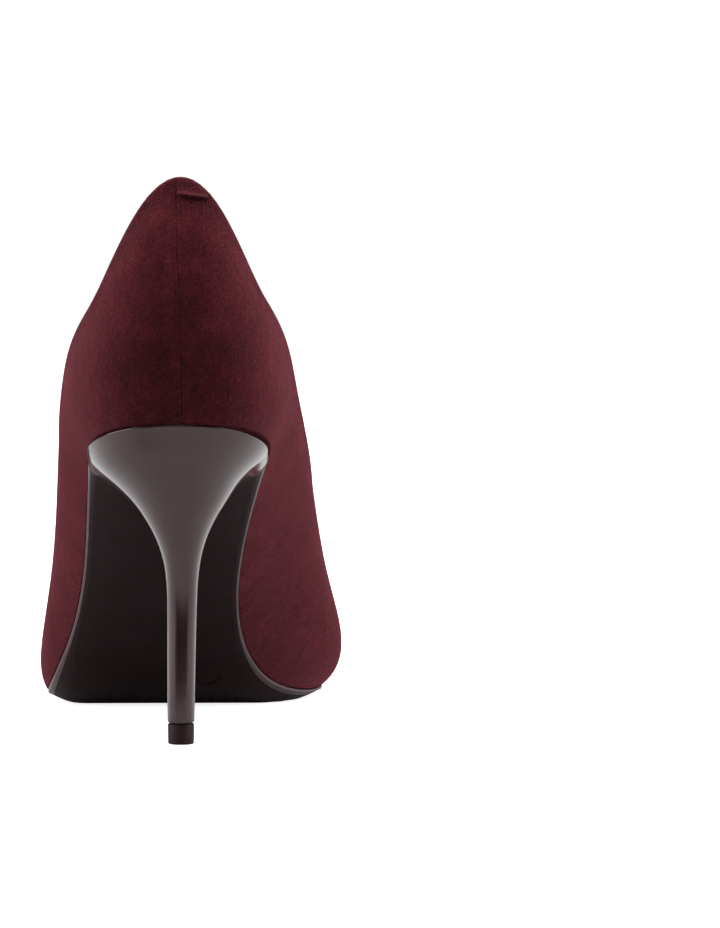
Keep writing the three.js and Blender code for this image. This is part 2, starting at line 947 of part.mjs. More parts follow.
for (const [name, y] of RIVETS) {
  const axis = seatNormal(y);
  const foot = onSeat(midX(y), y, 0).addScaledVector(axis, 0.5);
  const length = (BOARD_RISE + 0.1) * axis.z - 0.5;
  const profile = [
    [0, 0],
    [1.5, 0],
    [1.5, length],
    [2.8, length],
    [2.8, length + 0.35],
    [0, length + 0.55],
  ];
  add(name, turned(profile, foot, axis, 12), 0xb9a26a, 0.4, 1);
}

// Origin at the bottom centre of the whole shoe.
const box = new THREE.Box3().setFromObject(group);
group.position.set(-(box.min.x + box.max.x) / 2, -(box.min.y + box.max.y) / 2, -box.min.z);

export default group;
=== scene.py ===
"""High heel pump for the left foot: its visible pieces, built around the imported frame."""

import logging
import math
from collections.abc import Callable, Sequence
from dataclasses import dataclass, field
from enum import Enum

import bpy
import numpy as np
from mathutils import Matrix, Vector


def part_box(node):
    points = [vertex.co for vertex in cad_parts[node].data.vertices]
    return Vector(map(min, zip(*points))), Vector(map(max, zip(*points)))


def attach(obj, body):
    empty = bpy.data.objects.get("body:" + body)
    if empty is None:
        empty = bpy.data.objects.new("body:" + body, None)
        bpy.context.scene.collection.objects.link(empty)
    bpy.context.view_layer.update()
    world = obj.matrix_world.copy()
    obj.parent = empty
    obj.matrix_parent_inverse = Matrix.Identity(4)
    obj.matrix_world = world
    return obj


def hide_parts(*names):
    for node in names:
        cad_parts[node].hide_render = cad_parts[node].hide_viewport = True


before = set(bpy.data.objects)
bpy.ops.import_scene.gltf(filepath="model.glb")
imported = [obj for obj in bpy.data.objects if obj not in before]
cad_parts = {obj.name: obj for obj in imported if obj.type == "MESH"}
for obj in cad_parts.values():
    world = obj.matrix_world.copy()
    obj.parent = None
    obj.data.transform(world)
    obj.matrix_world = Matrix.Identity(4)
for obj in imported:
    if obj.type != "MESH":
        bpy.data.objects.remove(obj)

LOG = logging.getLogger("pump")
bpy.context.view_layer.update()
MM = 0.001
STEM_Y = 20.7
WELD_STEPS = 5000
CORNERS = 3


def frame_origin() -> np.ndarray:
    """Finds where the shoe's own heel-centre origin lies in the frame.

    Returns:
        The origin in millimetres, read from the heel tube, which stands on the stem's axis.
    """
    low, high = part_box("heel_tube")
    centre = (np.array(low) + np.array(high)) / 2 / MM
    return np.array([centre[0], centre[1] - STEM_Y, 0.0])


ORIGIN = frame_origin()


class Side(Enum):
    """The two long sides of the shoe."""

    OUTER = "outer"
    INNER = "inner"


def smooth(x: np.ndarray | float, low: float, high: float) -> np.ndarray:
    """Eases from 0 at low to 1 at high."""
    t = np.clip((np.asarray(x, float) - low) / (high - low), 0, 1)
    return t * t * (3 - 2 * t)


class Curve:
    """A natural cubic spline through points."""

    def __init__(self, *points: tuple[float, float]) -> None:
        """Solves the spline.

        Args:
            points: The (position, value) pairs, in order.
        """
        self.x, self.y = np.array(points, float).T
        n = len(self.x)
        h = np.diff(self.x)
        system, turn = np.eye(n), np.zeros(n)
        for i in range(1, n - 1):
            system[i, i - 1 : i + 2] = h[i - 1], 2 * (h[i - 1] + h[i]), h[i]
            turn[i] = 6 * (
                (self.y[i + 1] - self.y[i]) / h[i]
                - (self.y[i] - self.y[i - 1]) / h[i - 1]
            )
        self.bend = np.linalg.solve(system, turn)

    def __call__(self, at: np.ndarray | float) -> np.ndarray:
        """Reads the spline.

        Args:
            at: The positions, held to the spline's ends.

        Returns:
            The values there.
        """
        t = np.clip(np.asarray(at, float), self.x[0], self.x[-1])
        i = np.clip(np.searchsorted(self.x, t) - 1, 0, len(self.x) - 2)
        h = self.x[i + 1] - self.x[i]
        a, b = (self.x[i + 1] - t) / h, (t - self.x[i]) / h
        curve = (a**3 - a) * self.bend[i] + (b**3 - b) * self.bend[i + 1]
        return a * self.y[i] + b * self.y[i + 1] + curve * h * h / 6


@dataclass
class Walls:
    """Bezier walls of the last at a list of stations, in millimetres."""

    y: np.ndarray
    rise: np.ndarray
    bulge: np.ndarray
    centre: np.ndarray
    run: np.ndarray
    reach: np.ndarray
    r: np.ndarray
    z: np.ndarray

    def at(self, v: np.ndarray) -> np.ndarray:
        """Places points on the walls.

        Args:
            v: Shares up each wall, one row per station.

        Returns:
            Points, one row per station.
        """
        w = np.stack(
            [(1 - v) ** 3, 3 * (1 - v) ** 2 * v, 3 * (1 - v) * v * v, v**3], axis=-1
        )
        r = np.einsum("nmk,nk->nm", w, self.r)
        z = np.einsum("nmk,nk->nm", w, self.z)
        plan = self.centre[:, None, :] + self.run[:, None, :] * r[..., None]
        return np.concatenate([plan, z[..., None]], axis=-1)

    def plan(self, inset: np.ndarray | float) -> np.ndarray:
        """Gives the feather line drawn in towards the centre by an inset."""
        return self.centre + self.run * (self.reach - inset)[:, None]


@dataclass(frozen=True)
class LastForm:
    """The shape that the shoe is built on, in millimetres from the back of the heel."""

    outer_side: tuple = (
        (0, 0, 8, 42, 19),
        (-12.8, 1.8, 9.5, 38, 12),
        (-21.6, 10, 12.5, 32, 4),
        (-25.3, 26, 18.5, 29, 2),
        (-25.2, 46, 22.5, 28, 9),
        (-26, 68, 23.5, 28, 16),
        (-27.2, 90, 22.5, 27, 20),
        (-31.5, 110, 17.5, 23, 22),
        (-38.4, 128, 11, 18, 23),
        (-39, 149, 8.5, 15, 22),
        (-31.5, 173, 7.5, 12.5, 18),
        (-20, 195, 6, 10.5, 13),
        (-8.5, 213, 4, 9, 8),
        (-2, 221.5, 3, 8, 5),
        (4.5, 225, 2.5, 7.5, 4),
    )
    inner_side: tuple = (
        (0, 0, 8, 42, 19),
        (12.8, 1.8, 9, 38, 12),
        (21.4, 10, 11.5, 32, 3),
        (25.1, 26, 15.8, 29, 1.6),
        (23.2, 46, 22.6, 28, 10.3),
        (18.8, 68, 33, 28, 17.2),
        (15.6, 90, 40.5, 27, 22),
        (17, 111, 41.5, 26, 26),
        (25.5, 128, 34.5, 23, 28),
        (39.5, 145, 22.5, 16.5, 27),
        (43, 165, 13, 11.8, 23),
        (35.5, 190, 8, 10.5, 16),
        (23, 209, 5, 9, 9),
        (11.5, 221, 3, 8, 5),
        (4.5, 225, 2.5, 7.5, 4),
    )
    seat: Curve = field(
        default_factory=lambda: Curve(
            (0, 87), (22, 80.6), (44, 73.2), (68, 56.5), (92, 36), (112, 18.6),
            (126, 8.4), (138, 4), (152, 3.2), (170, 3.4), (190, 5.4), (210, 9), (226, 13),
        )
    )  # fmt: skip
    ridge: Curve = field(
        default_factory=lambda: Curve(
            (20, 174), (45, 152), (75, 124), (105, 94), (128, 69), (148, 50.5),
            (165, 40), (182, 32), (198, 26), (212, 21.8),
        )
    )  # fmt: skip
    topline: Curve = field(
        default_factory=lambda: Curve(
            (0, 165), (5, 154.3), (9, 140.6), (12, 128.2), (15.5, 120.6), (19, 117.2),
            (28, 111), (45, 99.5), (75, 82.5), (105, 66), (130, 54), (148, 49.5), (170, 49),
        )
    )  # fmt: skip
    middle: Curve = field(
        default_factory=lambda: Curve(
            (0, 0), (24, 0), (45, 1.2), (80, 4), (120, 6),
            (150, 6.2), (180, 5.6), (212, 4.8), (226, 4.6),
        )
    )  # fmt: skip
    heel_centre: float = 24
    fan_end: float = 45
    toe_start: float = 168
    toe_centre: float = 210
    toe_tip: float = 225
    slope_start: float = 150
    slope_end: float = 166
    tilt: float = 0.05
    foot_gap: float = 0.3
    samples: int = 6000

    def side(self, side: Side) -> np.ndarray:
        """Samples one half plan as a smooth curve.

        Args:
            side: Which side.

        Returns:
            Rows of x, y, bulge, rise and crown, from the back to the tip.
        """
        own, other = self.outer_side, self.inner_side
        if side is Side.INNER:
            own, other = other, own
        rows = np.array([other[1], *own, other[-2]], float)
        u = np.linspace(0, len(own) - 1, self.samples)
        i = np.minimum(u.astype(int), len(own) - 2)
        t = (u - i)[:, None]
        return (
            rows[i] * (1 - t) ** 3
            + rows[i + 1] * (3 * t**3 - 6 * t * t + 4)
            + rows[i + 2] * (-3 * t**3 + 3 * t * t + 3 * t + 1)
            + rows[i + 3] * t**3
        ) / 6

    def ends(self) -> tuple[float, float]:
        """Gives the first and the last station of the feather line."""
        rows = self.side(Side.INNER)
        return float(rows[0, 1]), float(rows[-1, 1])

    def centre_y(self, y: np.ndarray) -> np.ndarray:
        """Finds the station on the centre line that a feather station fans out from."""
        power = self.fan_end / (self.fan_end - self.heel_centre)
        share = np.clip(y / self.fan_end, 0, 1)
        rear = self.heel_centre + (self.fan_end - self.heel_centre) * share**power
        a = (self.toe_tip - self.toe_start) / (self.toe_centre - self.toe_start)
        t = np.clip((y - self.toe_start) / (self.toe_tip - self.toe_start), 0, 1)
        front = self.toe_start + (self.toe_centre - self.toe_start) * (
            a * t + (1 - a) * t * t
        )
        return np.where(y < self.fan_end, rear, np.where(y > self.toe_start, front, y))

    def walls(self, side: Side, y: np.ndarray) -> Walls:
        """Builds the walls of one side.

        Args:
            side: Which side.
            y: The stations.

        Returns:
            One wall per station.
        """
        y = np.asarray(y, float)
        rows = self.side(side)
        x, out, up, crown = (np.interp(y, rows[:, 1], rows[:, c]) for c in (0, 2, 3, 4))
        cy = self.centre_y(y)
        centre = np.stack([self.middle(cy), cy], axis=1)
        run = np.stack([x, y], axis=1) - centre
        reach = np.linalg.norm(run, axis=1)
        run = run / reach[:, None]
        top = self.ridge(cy)
        slope = self.ridge(cy + 0.5) - self.ridge(cy - 0.5)
        slope *= smooth(cy, self.slope_start, self.slope_end)
        foot = self.seat(y) + self.foot_gap
        zero = np.zeros_like(reach)
        return Walls(
            y=y,
            rise=up,
            bulge=out,
            centre=centre,
            run=run,
            reach=reach,
            r=np.stack([reach, reach + out, crown, zero], axis=1),
            z=np.stack([foot, foot + up, top + slope * run[:, 1] * crown, top], axis=1),
        )

    def throat(self, drop: float) -> float:
        """Finds the station where the topline crosses the ridge.

        Args:
            drop: How far below the topline the cut runs.

        Returns:
            The station.
        """
        y = np.linspace(130, 168, 4000)
        return float(y[np.argmax(self.ridge(y) <= self.topline(y) - drop)])

    def top_share(self, walls: Walls, drop: float) -> np.ndarray:
        """Finds how far up each wall the topline cut lies.

        Args:
            walls: The walls.
            drop: How far below the topline the cut runs.

        Returns:
            One share per wall, 1 where the wall reaches the ridge first.
        """
        v = np.tile(np.linspace(0.05, 1, 800), (len(walls.y), 1))
        p = walls.at(v)
        lean = self.tilt * (p[..., 0] - walls.centre[:, None, 0])
        over = p[..., 2] - (self.topline(p[..., 1]) + lean - drop)
        hit = over >= 0
        first = np.where(hit.any(axis=1), hit.argmax(axis=1), v.shape[1] - 1)
        n = np.arange(len(first))
        before = np.maximum(first - 1, 0)
        a, b = over[n, before], over[n, first]
        t = np.where(hit.any(axis=1) & (b > a), -a / np.maximum(b - a, 1e-9), 1.0)
        return v[n, before] + np.clip(t, 0, 1) * (v[n, first] - v[n, before])


FORM = LastForm()


# ---- Meshes ----
def to_frame(points: np.ndarray) -> np.ndarray:
    """Turns points of the last, in millimetres, into the frame's metres."""
    return (points + ORIGIN) * MM


def weld(points: np.ndarray) -> tuple[np.ndarray, np.ndarray]:
    """Joins points that coincide.

    Args:
        points: Points in millimetres.

    Returns:
        The kept points, and the kept index of each point given.
    """
    keys = np.round(points * WELD_STEPS).astype(np.int64)
    first, back = np.unique(keys, axis=0, return_index=True, return_inverse=True)[1:]
    return points[first], back.reshape(-1)


def lengths(line: np.ndarray) -> np.ndarray:
    """Gives how far along a line each of its points lies."""
    step = np.linalg.norm(np.diff(line, axis=0), axis=1)
    return np.concatenate([[0], np.cumsum(step)])


def along(line: np.ndarray, run: np.ndarray, marks: np.ndarray) -> np.ndarray:
    """Reads a line's three columns.

    Args:
        line: Points or directions, one row each.
        run: Where each row lies.
        marks: Where to read.

    Returns:
        One row per mark.
    """
    return np.stack([np.interp(marks, run, line[:, c]) for c in range(3)], axis=1)


def tube_faces(rings: int, around: int, closed: bool = False) -> list[tuple[int, ...]]:
    """Lists the faces between rings of points.

    Args:
        rings: How many rings there are.
        around: How many points each ring has.
        closed: Whether the last ring joins the first.

    Returns:
        The faces, turned out when the rings rise anticlockwise.
    """
    faces = []
    for i in range(rings if closed else rings - 1):
        low, high = i * around, (i + 1) % rings * around
        for k in range(around):
            n = (k + 1) % around
            faces.append((low + k, low + n, high + n, high + k))
    return faces


def add_object(name: str, data: bpy.types.ID) -> bpy.types.Object:
    """Puts a mesh, light or camera into the scene."""
    obj = bpy.data.objects.new(name, data)
    bpy.context.scene.collection.objects.link(obj)
    return obj


@dataclass
class Skin:
    """An open surface with outward normals, in millimetres."""

    points: np.ndarray
    faces: list[tuple[int, ...]]
    bands: list[int] = field(default_factory=list)
    normals: np.ndarray = field(init=False)

    def __post_init__(self) -> None:
        """Works out the normals at the corners."""
        total = np.zeros_like(self.points)
        for face in self.faces:
            p = self.points[list(face)]
            n = np.cross(p[1] - p[0], p[2] - p[0])
            if len(face) == 4:
                n = n + np.cross(p[2] - p[0], p[3] - p[0])
            for k in face:
                total[k] += n
        length = np.linalg.norm(total, axis=1, keepdims=True)
        self.normals = total / np.maximum(length, 1e-12)

    @classmethod
    def over(cls, columns: np.ndarray) -> "Skin":
        """Builds the surface over a grid of points.

        Args:
            columns: Points by column and row, faces turned out when columns run anticlockwise.

        Returns:
            The skin.
        """
        count, rows = columns.shape[:2]
        points, back = weld(columns.reshape(-1, 3))
        ids = back.reshape(count, rows)
        faces: list[tuple[int, ...]] = []
        bands: list[int] = []
        for i in range(count - 1):
            for j in range(rows - 1):
                loop = (ids[i, j], ids[i + 1, j], ids[i + 1, j + 1], ids[i, j + 1])
                kept = tuple(int(k) for n, k in enumerate(loop) if k != loop[n - 1])
                if len(set(kept)) >= CORNERS:
                    faces.append(kept)
                    bands.append(j)
        return cls(points, faces, bands)

    def shell(
        self, front: np.ndarray | float, back: np.ndarray | float
    ) -> tuple[np.ndarray, list[tuple[int, ...]]]:
        """Closes a solid between two depths below the surface.

        Args:
            front: Depth of the outer face at each point.
            back: Depth of the inner face.

        Returns:
            Points and faces of the solid.
        """
        n = len(self.points)
        front = np.broadcast_to(front, (n,))
        back = np.broadcast_to(back, (n,))
        outer = self.points - self.normals * front[:, None]
        inner = self.points - self.normals * back[:, None]
        twin = np.where(np.abs(front - back) < 1e-6, np.arange(n), np.arange(n) + n)
        faces = list(self.faces)
        faces += [tuple(int(twin[k]) for k in reversed(f)) for f in self.faces]
        edges = {(f[k - 1], f[k]) for f in self.faces for k in range(len(f))}
        for a, b in sorted(edges):
            if (b, a) in edges:
                continue
            wall = [b, a, int(twin[a]), int(twin[b])]
            loop = [k for i, k in enumerate(wall) if k != wall[i - 1]]
            if len(set(loop)) >= CORNERS:
                faces.append(tuple(loop))
        return np.concatenate([outer, inner]), faces


def make_object(
    name: str, points: np.ndarray, faces: Sequence[Sequence[int]]
) -> bpy.types.Object:
    """Makes a smooth mesh object from points of the last.

    Args:
        name: The piece's name.
        points: Points in millimetres.
        faces: Faces, turned out.

    Returns:
        The object.
    """
    used = sorted({k for f in faces for k in f})
    remap = {k: i for i, k in enumerate(used)}
    mesh = bpy.data.meshes.new(name)
    mesh.from_pydata(
        [tuple(p) for p in to_frame(points[used])],
        [],
        [tuple(remap[k] for k in f) for f in faces],
    )
    mesh.validate()
    mesh.update()
    mesh.shade_smooth()
    return add_object(name, mesh)


def ease_in(low: float, high: float, count: int) -> np.ndarray:
    """Spaces stations closely at low and widely at high."""
    return low + (high - low) * (1 - np.cos(np.linspace(0, math.pi / 2, count)))


def ease_out(low: float, high: float, count: int) -> np.ndarray:
    """Spaces stations widely at low and closely at high."""
    return low + (high - low) * np.sin(np.linspace(0, math.pi / 2, count))


def distance_to(points: np.ndarray, line: np.ndarray) -> np.ndarray:
    """Measures how far points lie from a dense line.

    Args:
        points: Points.
        line: Points of the line.

    Returns:
        The distance of each point.
    """
    best = np.full(len(points), np.inf)
    for start in range(0, len(line), 200):
        part = line[start : start + 200]
        gap = np.linalg.norm(points[:, None, :] - part[None, :, :], axis=2)
        best = np.minimum(best, gap.min(axis=1))
    return best


@dataclass
class Cladding:
    """A grid over the last between a low line and a cut below the topline."""

    drop: float = 0.0
    start_rise: float = 0.0
    flange: float = 0.0
    rows: int = 34
    first: float = 0.0
    last: float = 226.0
    fine_seam: bool = False
    top_band: float | None = None
    foot_rows: tuple[float, ...] = (0, 0.35, 0.8, 1.4, 2.2)
    edge_rows: tuple[float, ...] = (4, 3, 2.3, 1.8, 1.4, 1.1, 0.9, 0.7, 0.5, 0.3, 0.12, 0)
    tuck_rows: tuple[float, ...] = (1.0, 0.6, 0.25, 0.06)

    def stations(self) -> np.ndarray:
        """Lists the stations from the back to the tip."""
        back, tip = FORM.ends()
        throat = FORM.throat(self.drop)
        parts = [
            ease_in(back, FORM.fan_end, 46),
            throat - (throat - FORM.fan_end) * np.linspace(1, 0, 90) ** 1.6,
            throat + np.array([0.15, 0.4, 0.7, 1, 1.4, 1.9, 2.5, 3.2, 4, 5]),
            np.linspace(throat + 6, FORM.toe_start, 10),
            ease_out(FORM.toe_start, tip, 46),
        ]
        if self.fine_seam:
            rows = FORM.side(Side.INNER)
            near = np.interp(np.arange(0.14, 3.2, 0.14), rows[:, 0][:900], rows[:, 1][:900])
            parts.append(near)
        y = np.unique(np.round(np.concatenate(parts), 6))
        low, high = max(self.first, back), min(self.last, tip)
        y = y[(y > low + 1e-5) & (y < high - 1e-5)]
        return np.concatenate([[low], y, [high]])

    def columns(self, side: Side, y: np.ndarray) -> np.ndarray:
        """Places the grid's points on one side.

        Args:
            side: Which side.
            y: The stations.

        Returns:
            Points by station and row, from the bottom up.
        """
        walls = FORM.walls(side, y)
        top = FORM.top_share(walls, self.drop)
        top = np.where(y >= FORM.throat(self.drop) - 1e-6, 1.0, top)
        low = self.start_rise / (3 * walls.rise)
        fine = low[:, None] + (top - low)[:, None] * np.linspace(0, 1, 260)
        path = walls.at(fine)
        step = np.linalg.norm(np.diff(path, axis=1), axis=2)
        run = np.concatenate([np.zeros((len(y), 1)), np.cumsum(step, axis=1)], axis=1)
        length = run[:, -1:]
        edge = np.array(self.edge_rows)[None, :]
        if self.top_band is None:
            foot = np.array(self.foot_rows)[None, :]
            spare = np.maximum(length - edge[0, 0] - foot[0, -1], 0.5)
            body = foot[0, -1] + spare * np.linspace(0, 1, self.rows)[None, 1:-1]
            marks = np.concatenate(
                [np.repeat(foot, len(y), axis=0), body, length - edge], axis=1
            )
        else:
            start = length - self.top_band
            body = start + (self.top_band - edge[0, 0]) * np.linspace(0, 1, self.rows)[None, :-1]
            marks = np.concatenate([body, length - edge], axis=1)
        v = np.stack([np.interp(m, r, f) for m, r, f in zip(marks, run, fine)])
        points = walls.at(v)
        if self.flange:
            width = np.minimum(self.flange, 0.42 * walls.reach)
            tucks = []
            for share in self.tuck_rows:
                plan = walls.plan(width * share)
                height = FORM.seat(plan[:, 1]) + FORM.foot_gap
                tucks.append(np.concatenate([plan, height[:, None]], axis=1))
            points = np.concatenate([np.stack(tucks, axis=1), points], axis=1)
        return points

    def grid(self) -> np.ndarray:
        """Joins both sides into one run of columns, from one end round the back to the other."""
        y = self.stations()
        outer = self.columns(Side.OUTER, y)
        inner = self.columns(Side.INNER, y)
        if self.last >= FORM.ends()[1]:
            outer[-1] = inner[-1] = (outer[-1] + inner[-1]) / 2
        return np.concatenate([outer[::-1], inner[1:]], axis=0)

    def skin(self) -> Skin:
        """Builds the surface."""
        return Skin.over(self.grid())


def topline_points(drop: float = 0.0) -> np.ndarray:
    """Traces the topline cut as one dense line round the shoe.

    Args:
        drop: How far below the topline it runs.

    Returns:
        Points in millimetres, from the throat round the back to the throat.
    """
    throat = FORM.throat(drop)
    fan = FORM.fan_end
    sides = throat - (throat - fan) * np.linspace(1, 0, 420) ** 2
    y = np.unique(np.concatenate([ease_in(FORM.ends()[0], fan, 160), sides]))
    lines = []
    for side in Side:
        walls = FORM.walls(side, y)
        top = FORM.top_share(walls, drop)
        top[-1] = 1.0
        lines.append(walls.at(top[:, None])[:, 0])
    return np.concatenate([lines[0][::-1], lines[1][1:]])


def stitch_mesh(
    line: np.ndarray,
    normals: np.ndarray,
    length: float,
    gap: float,
    radius: float,
) -> tuple[np.ndarray, list[tuple[int, ...]]]:
    """Lays a row of thread stitches along a line.

    Args:
        line: Points of the seam.
        normals: The surface's normal at each point.
        length: Length of one stitch.
        gap: Space between two stitches.
        radius: Half the thread's thickness.

    Returns:
        Points and faces of all the stitches.
    """
    run = lengths(line)
    points: list[np.ndarray] = []
    faces: list[tuple[int, ...]] = []
    sides, rings = 8, 7
    tube = tube_faces(rings, sides)
    start = gap
    while start + length < run[-1]:
        marks = start + length * np.linspace(0, 1, rings)
        spots, ups = along(line, run, marks), along(normals, run, marks)
        arch = np.sin(np.linspace(0, math.pi, rings))
        thick = radius * np.sqrt(np.clip(arch, 0.08, 1))
        ahead = spots[-1] - spots[0]
        ahead = ahead / np.linalg.norm(ahead)
        base = len(points)
        for k in range(rings):
            up = ups[k] / np.linalg.norm(ups[k])
            across = np.cross(ahead, up)
            centre = spots[k] + up * (radius * 0.75 * arch[k] - radius * 0.35)
            for s in range(sides):
                a = 2 * math.pi * s / sides
                points.append(
                    centre + thick[k] * (math.cos(a) * across + math.sin(a) * up)
                )
        faces += [tuple(base + k for k in f) for f in tube]
        faces.append(tuple(base + s for s in reversed(range(sides))))
        faces.append(tuple(base + (rings - 1) * sides + s for s in range(sides)))
        start += length + gap
    return np.array(points), faces


# ---- Finishes ----
class Nodes:
    """A short way to write a material's node tree."""

    def __init__(self, name: str) -> None:
        """Starts a material with one principled shader.

        Args:
            name: The material's name.
        """
        self.material = bpy.data.materials.new(name)
        self.material.use_nodes = True
        self.tree = self.material.node_tree
        self.shader = self.tree.nodes["Principled BSDF"]
        self.place = self.tree.nodes.new("ShaderNodeTexCoord").outputs["Object"]

    def add(self, kind: str, **values: object) -> bpy.types.Node:
        """Adds a node and sets its properties."""
        node = self.tree.nodes.new(kind)
        for key, value in values.items():
            setattr(node, key, value)
        return node

    def link(self, source: bpy.types.NodeSocket, target: bpy.types.NodeSocket) -> None:
        """Joins two sockets."""
        self.tree.links.new(source, target)

    def noise(
        self, size: float, detail: float = 3, rough: float = 0.55, stretch: tuple = (1, 1, 1)
    ) -> bpy.types.NodeSocket:
        """Adds cloudy noise.

        Args:
            size: Size of its spots, in millimetres.
            detail: How many finer layers it has.
            rough: How strong they are.
            stretch: How many times finer it is along each axis.

        Returns:
            The socket with its value.
        """
        move = self.add("ShaderNodeMapping")
        move.inputs["Scale"].default_value = stretch
        self.link(self.place, move.inputs["Vector"])
        node = self.add("ShaderNodeTexNoise")
        node.inputs["Scale"].default_value = 1 / (size * MM)
        node.inputs["Detail"].default_value = detail
        node.inputs["Roughness"].default_value = rough
        self.link(move.outputs["Vector"], node.inputs["Vector"])
        return node.outputs["Fac"]

    def cells(self, size: float) -> bpy.types.NodeSocket:
        """Adds a pattern of cells and gives the distance to their edges."""
        node = self.add("ShaderNodeTexVoronoi", feature="DISTANCE_TO_EDGE")
        node.inputs["Scale"].default_value = 1 / (size * MM)
        self.link(self.place, node.inputs["Vector"])
        return node.outputs["Distance"]

    def weave(self, size: float, direction: str) -> bpy.types.NodeSocket:
        """Adds fine parallel bands across one direction."""
        node = self.add("ShaderNodeTexWave", bands_direction=direction)
        node.inputs["Scale"].default_value = 0.3 / (size * MM)
        node.inputs["Distortion"].default_value = 0.6
        self.link(self.place, node.inputs["Vector"])
        return node.outputs["Fac"]

    def ramp(
        self, source: bpy.types.NodeSocket, *stops: tuple[float, Sequence[float]]
    ) -> bpy.types.NodeSocket:
        """Turns a value into colours.

        Args:
            source: The value.
            stops: Positions with their colours.

        Returns:
            The socket with the colour.
        """
        node = self.add("ShaderNodeValToRGB")
        marks = node.color_ramp.elements
        while len(marks) < len(stops):
            marks.new(0.5)
        for mark, (where, colour) in zip(marks, stops):
            mark.position = where
            mark.color = (*colour, 1)
        self.link(source, node.inputs["Fac"])
        return node.outputs["Color"]

    def blend(
        self, share: bpy.types.NodeSocket | float, a: object, b: object, mode: str = "MIX"
    ) -> bpy.types.NodeSocket:
        """Mixes two colours, each a socket or a plain colour."""
        node = self.add("ShaderNodeMix", data_type="RGBA", blend_type=mode)
        for key, value in ((0, share), (6, a), (7, b)):
            if isinstance(value, bpy.types.NodeSocket):
                self.link(value, node.inputs[key])
            elif key == 0:
                node.inputs[key].default_value = value
            else:
                node.inputs[key].default_value = (*value, 1)
        return node.outputs[2]

    def span(self, source: bpy.types.NodeSocket, low: float, high: float) -> bpy.types.NodeSocket:
        """Maps a value from 0 to 1 onto low to high."""
        node = self.add("ShaderNodeMapRange")
        node.inputs["To Min"].default_value = low
        node.inputs["To Max"].default_value = high
        self.link(source, node.inputs["Value"])
        return node.outputs["Result"]

    def colour(self, source: bpy.types.NodeSocket) -> None:
        """Joins a colour to the shader."""
        self.link(source, self.shader.inputs["Base Color"])

    def roughen(self, source: bpy.types.NodeSocket, low: float, high: float) -> None:
        """Lets a value from 0 to 1 drive the roughness from low to high."""
        self.link(self.span(source, low, high), self.shader.inputs["Roughness"])

    def bump(self, *layers: tuple[bpy.types.NodeSocket, float, float]) -> None:
        """Adds layers of relief.

        Args:
            layers: For each layer its height, its strength and its depth in millimetres.
        """
        last = None
        for height, strength, depth in layers:
            node = self.add("ShaderNodeBump")
            node.inputs["Strength"].default_value = strength
            node.inputs["Distance"].default_value = depth * MM
            self.link(height, node.inputs["Height"])
            if last is not None:
                self.link(last, node.inputs["Normal"])
            last = node.outputs["Normal"]
        self.link(last, self.shader.inputs["Normal"])

    def set(self, **values: object) -> None:
        """Sets the shader's own sockets, by name with underscores for spaces."""
        for key, value in values.items():
            socket = self.shader.inputs[key.replace("_", " ")]
            socket.default_value = value


@dataclass(frozen=True)
class Suede:
    """Brushed suede: cloudy nap, fine fibres and a pale sheen where it turns away."""

    name: str = "suede_finish"
    deep: tuple = (0.036, 0.0038, 0.0066)
    mid: tuple = (0.066, 0.0072, 0.0118)
    light: tuple = (0.125, 0.0175, 0.0255)
    sheen: float = 0.68

    def material(self) -> bpy.types.Material:
        """Builds the material."""
        n = Nodes(self.name)
        cloud = n.noise(19, 3, 0.6)
        nap = n.noise(3.6, 4, 0.65, (1, 1, 0.7))
        fibre = n.noise(0.42, 2, 0.75)
        speck = n.noise(0.26, 2, 0.7)
        base = n.ramp(cloud, (0.26, self.deep), (0.5, self.mid), (0.76, self.light))
        brushed = n.ramp(nap, (0.3, (0.7, 0.66, 0.67)), (0.7, (1.3, 1.28, 1.28)))
        worn = n.blend(1.0, base, brushed, "MULTIPLY")
        flecks = n.ramp(fibre, (0.4, (0.28, 0.22, 0.24)), (0.62, (1.9, 2.0, 2.0)))
        n.colour(n.blend(0.65, worn, flecks, "MULTIPLY"))
        n.roughen(nap, 0.88, 1.0)
        n.set(
            Sheen_Weight=self.sheen,
            Sheen_Roughness=0.36,
            Sheen_Tint=(1.0, 0.26, 0.33, 1),
            Specular_IOR_Level=0.1,
        )
        n.bump((fibre, 1.0, 0.6), (speck, 0.8, 0.2), (nap, 0.5, 0.8), (cloud, 0.4, 1.6))
        return n.material


@dataclass(frozen=True)
class Lacquer:
    """Hard gloss lacquer with a very slight ripple."""

    name: str = "lacquer_finish"
    dark: tuple = (0.016, 0.0065, 0.0070)
    light: tuple = (0.030, 0.0150, 0.0150)
    roughness: tuple = (0.10, 0.16)
    coat: float = 0.12

    def material(self) -> bpy.types.Material:
        """Builds the material."""
        n = Nodes(self.name)
        cloud = n.noise(14, 3)
        ripple = n.noise(2.6, 2, 0.4)
        dust = n.noise(0.35, 2, 0.6)
        n.colour(n.ramp(cloud, (0.3, self.dark), (0.72, self.light)))
        n.roughen(dust, *self.roughness)
        n.set(
            Coat_Weight=self.coat,
            Coat_Roughness=0.06,
            Specular_IOR_Level=0.66,
            Specular_Tint=(1, 0.76, 0.78, 1),
        )
        n.bump((ripple, 0.12, 0.05), (dust, 0.08, 0.01))
        return n.material


